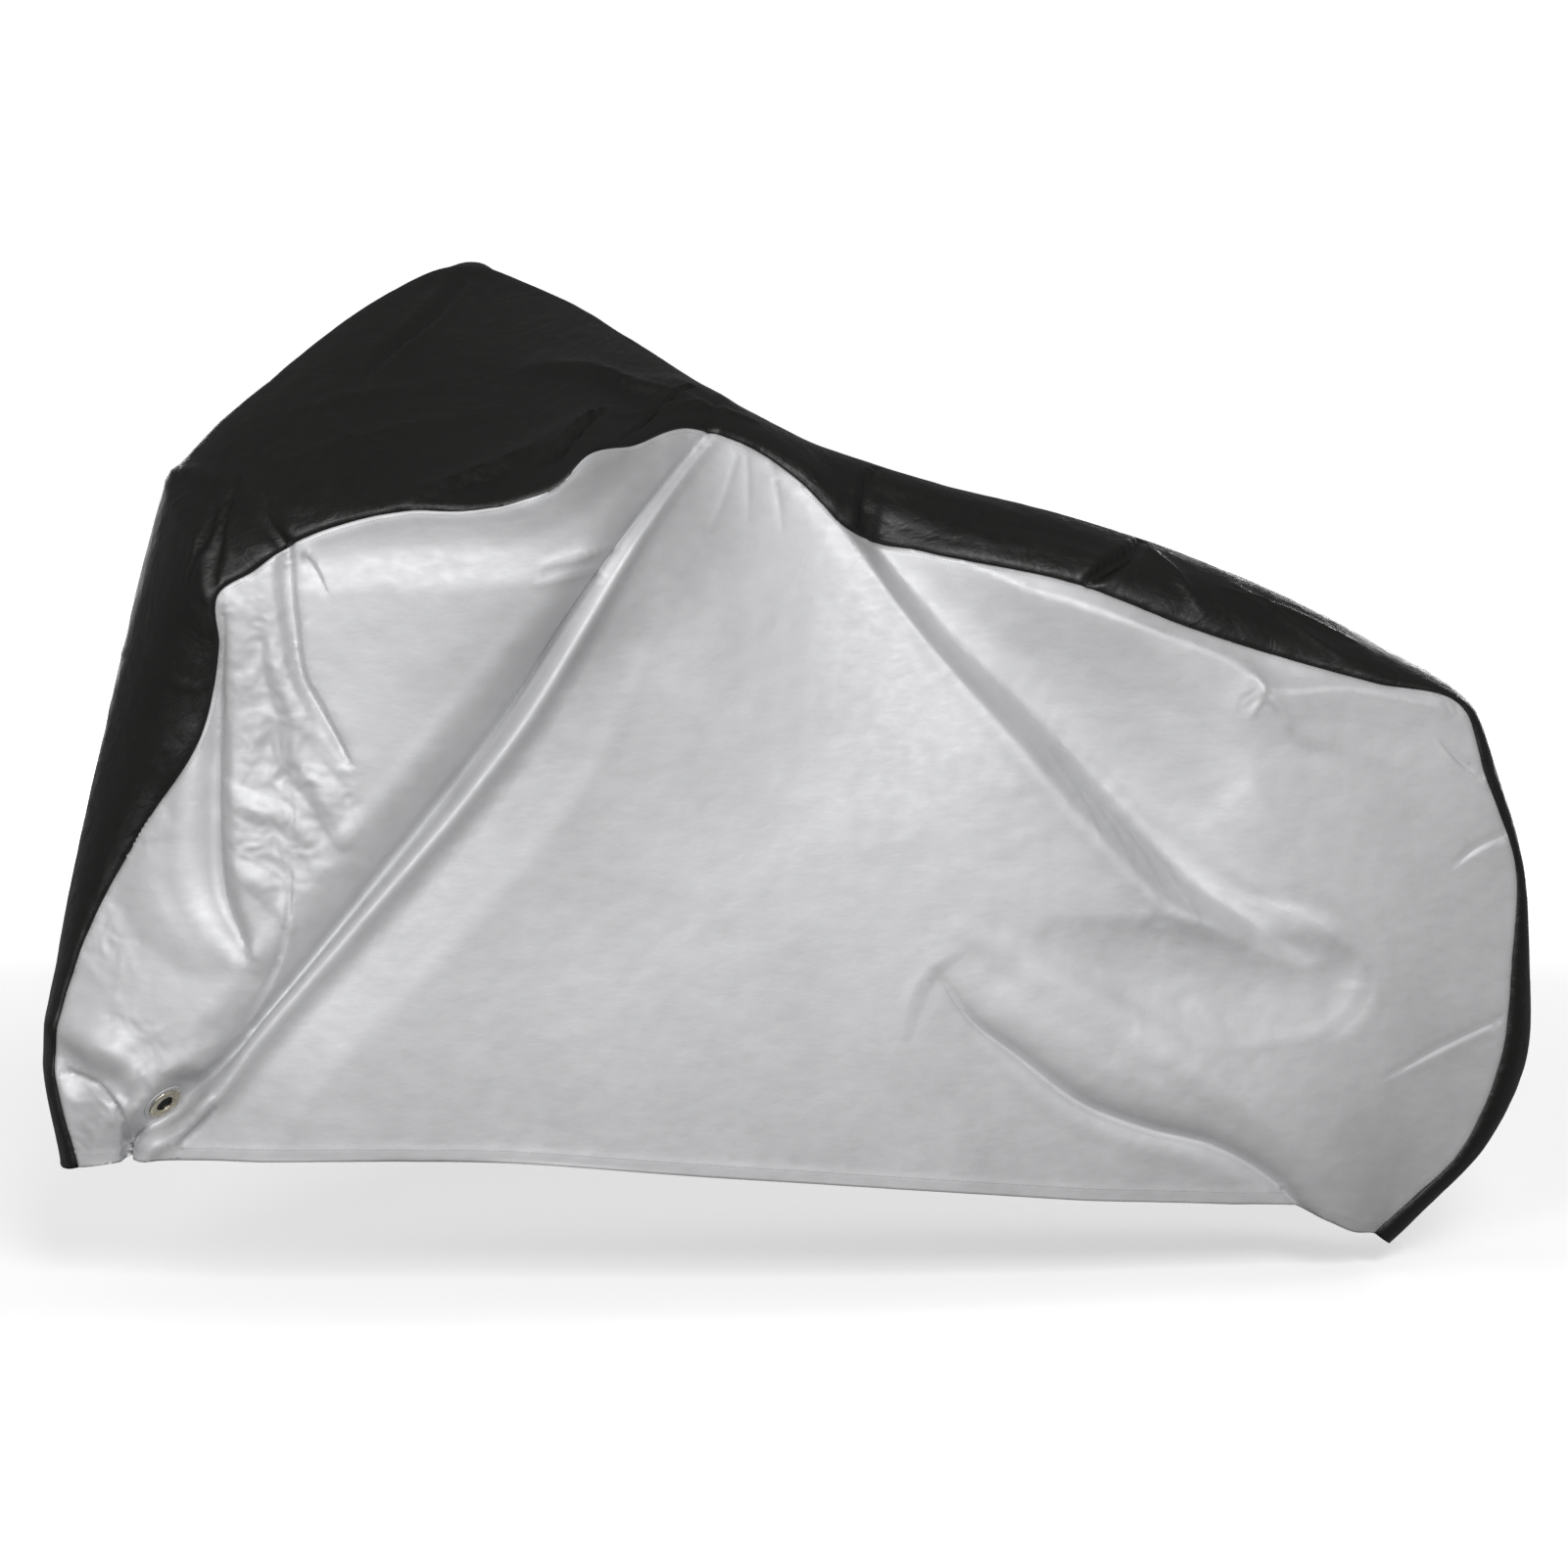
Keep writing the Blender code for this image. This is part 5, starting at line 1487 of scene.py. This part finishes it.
def make_floor():
    """A flat floor on the ground, which takes shadows and turns white further away."""
    mesh = bpy.data.meshes.new("floor")
    corners = ((-1, -1), (1, -1), (1, 1), (-1, 1))
    ground = -SUPPORT_HEIGHT
    mesh.from_pydata([(x * STAGE_RADIUS, y * STAGE_RADIUS, ground) for x, y in corners], [], [(0, 1, 2, 3)])
    nodes = Nodes("paper", FLOOR_COLOUR, roughness=0.95)
    place_node = nodes.add("ShaderNodeTexCoord")
    length = nodes.add("ShaderNodeVectorMath", operation="LENGTH")
    nodes.link(place_node, length.inputs[0], OBJECT_PLACE)
    glow = nodes.ranged(length, *FLOOR_GLOW, *FLOOR_GLOW_FROM, LENGTH_RESULT)
    nodes.link(glow, nodes.shader.inputs["Emission Strength"])
    add_stage(mesh, nodes)


def make_surround():
    """A white ball around all, which only the camera sees."""
    mesh = bpy.data.meshes.new("surround")
    ball = bmesh.new()
    bmesh.ops.create_uvsphere(ball, u_segments=48, v_segments=24, radius=STAGE_RADIUS)
    ball.to_mesh(mesh)
    ball.free()
    nodes = Nodes("surround_white", (0.0, 0.0, 0.0), roughness=1.0)
    nodes.shader.inputs["Emission Strength"].default_value = 1.0
    surround = add_stage(mesh, nodes)
    surround.visible_shadow = False
    surround.visible_transmission = False


def make_stage():
    scene = bpy.context.scene
    make_floor()
    make_surround()
    world = bpy.data.worlds.new("studio")
    world.use_nodes = True
    background = world.node_tree.nodes["Background"]
    background.inputs["Color"].default_value = WHITE
    background.inputs["Strength"].default_value = WORLD_STRENGTH
    scene.world = world

    target = Vector(place(AIM))
    for name, azimuth, elevation, power in LIGHTS:
        light = bpy.data.objects.new(name, bpy.data.lights.new(name, "AREA"))
        light.data.size = LIGHT_SIZE
        light.data.energy = power
        light.location = target + back_vector(azimuth, elevation) * LIGHT_DISTANCE
        aim(light, target)
        scene.collection.objects.link(light)

    camera = bpy.data.objects.new("camera", bpy.data.cameras.new("camera"))
    camera.data.lens = LENS
    camera.data.sensor_width = SENSOR
    camera.location = target + back_vector(CAMERA_AZIMUTH, CAMERA_ELEVATION) * CAMERA_DISTANCE
    aim(camera, target)
    scene.collection.objects.link(camera)
    scene.camera = camera
    scene.view_settings.view_transform = "Standard"


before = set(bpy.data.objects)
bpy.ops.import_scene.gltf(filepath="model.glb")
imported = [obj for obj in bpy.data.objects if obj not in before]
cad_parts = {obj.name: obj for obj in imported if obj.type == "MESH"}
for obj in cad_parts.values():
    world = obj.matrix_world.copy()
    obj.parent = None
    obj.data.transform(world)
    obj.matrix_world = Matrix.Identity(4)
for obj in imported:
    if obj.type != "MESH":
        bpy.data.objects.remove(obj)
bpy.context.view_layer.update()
make_cover()
make_stage()
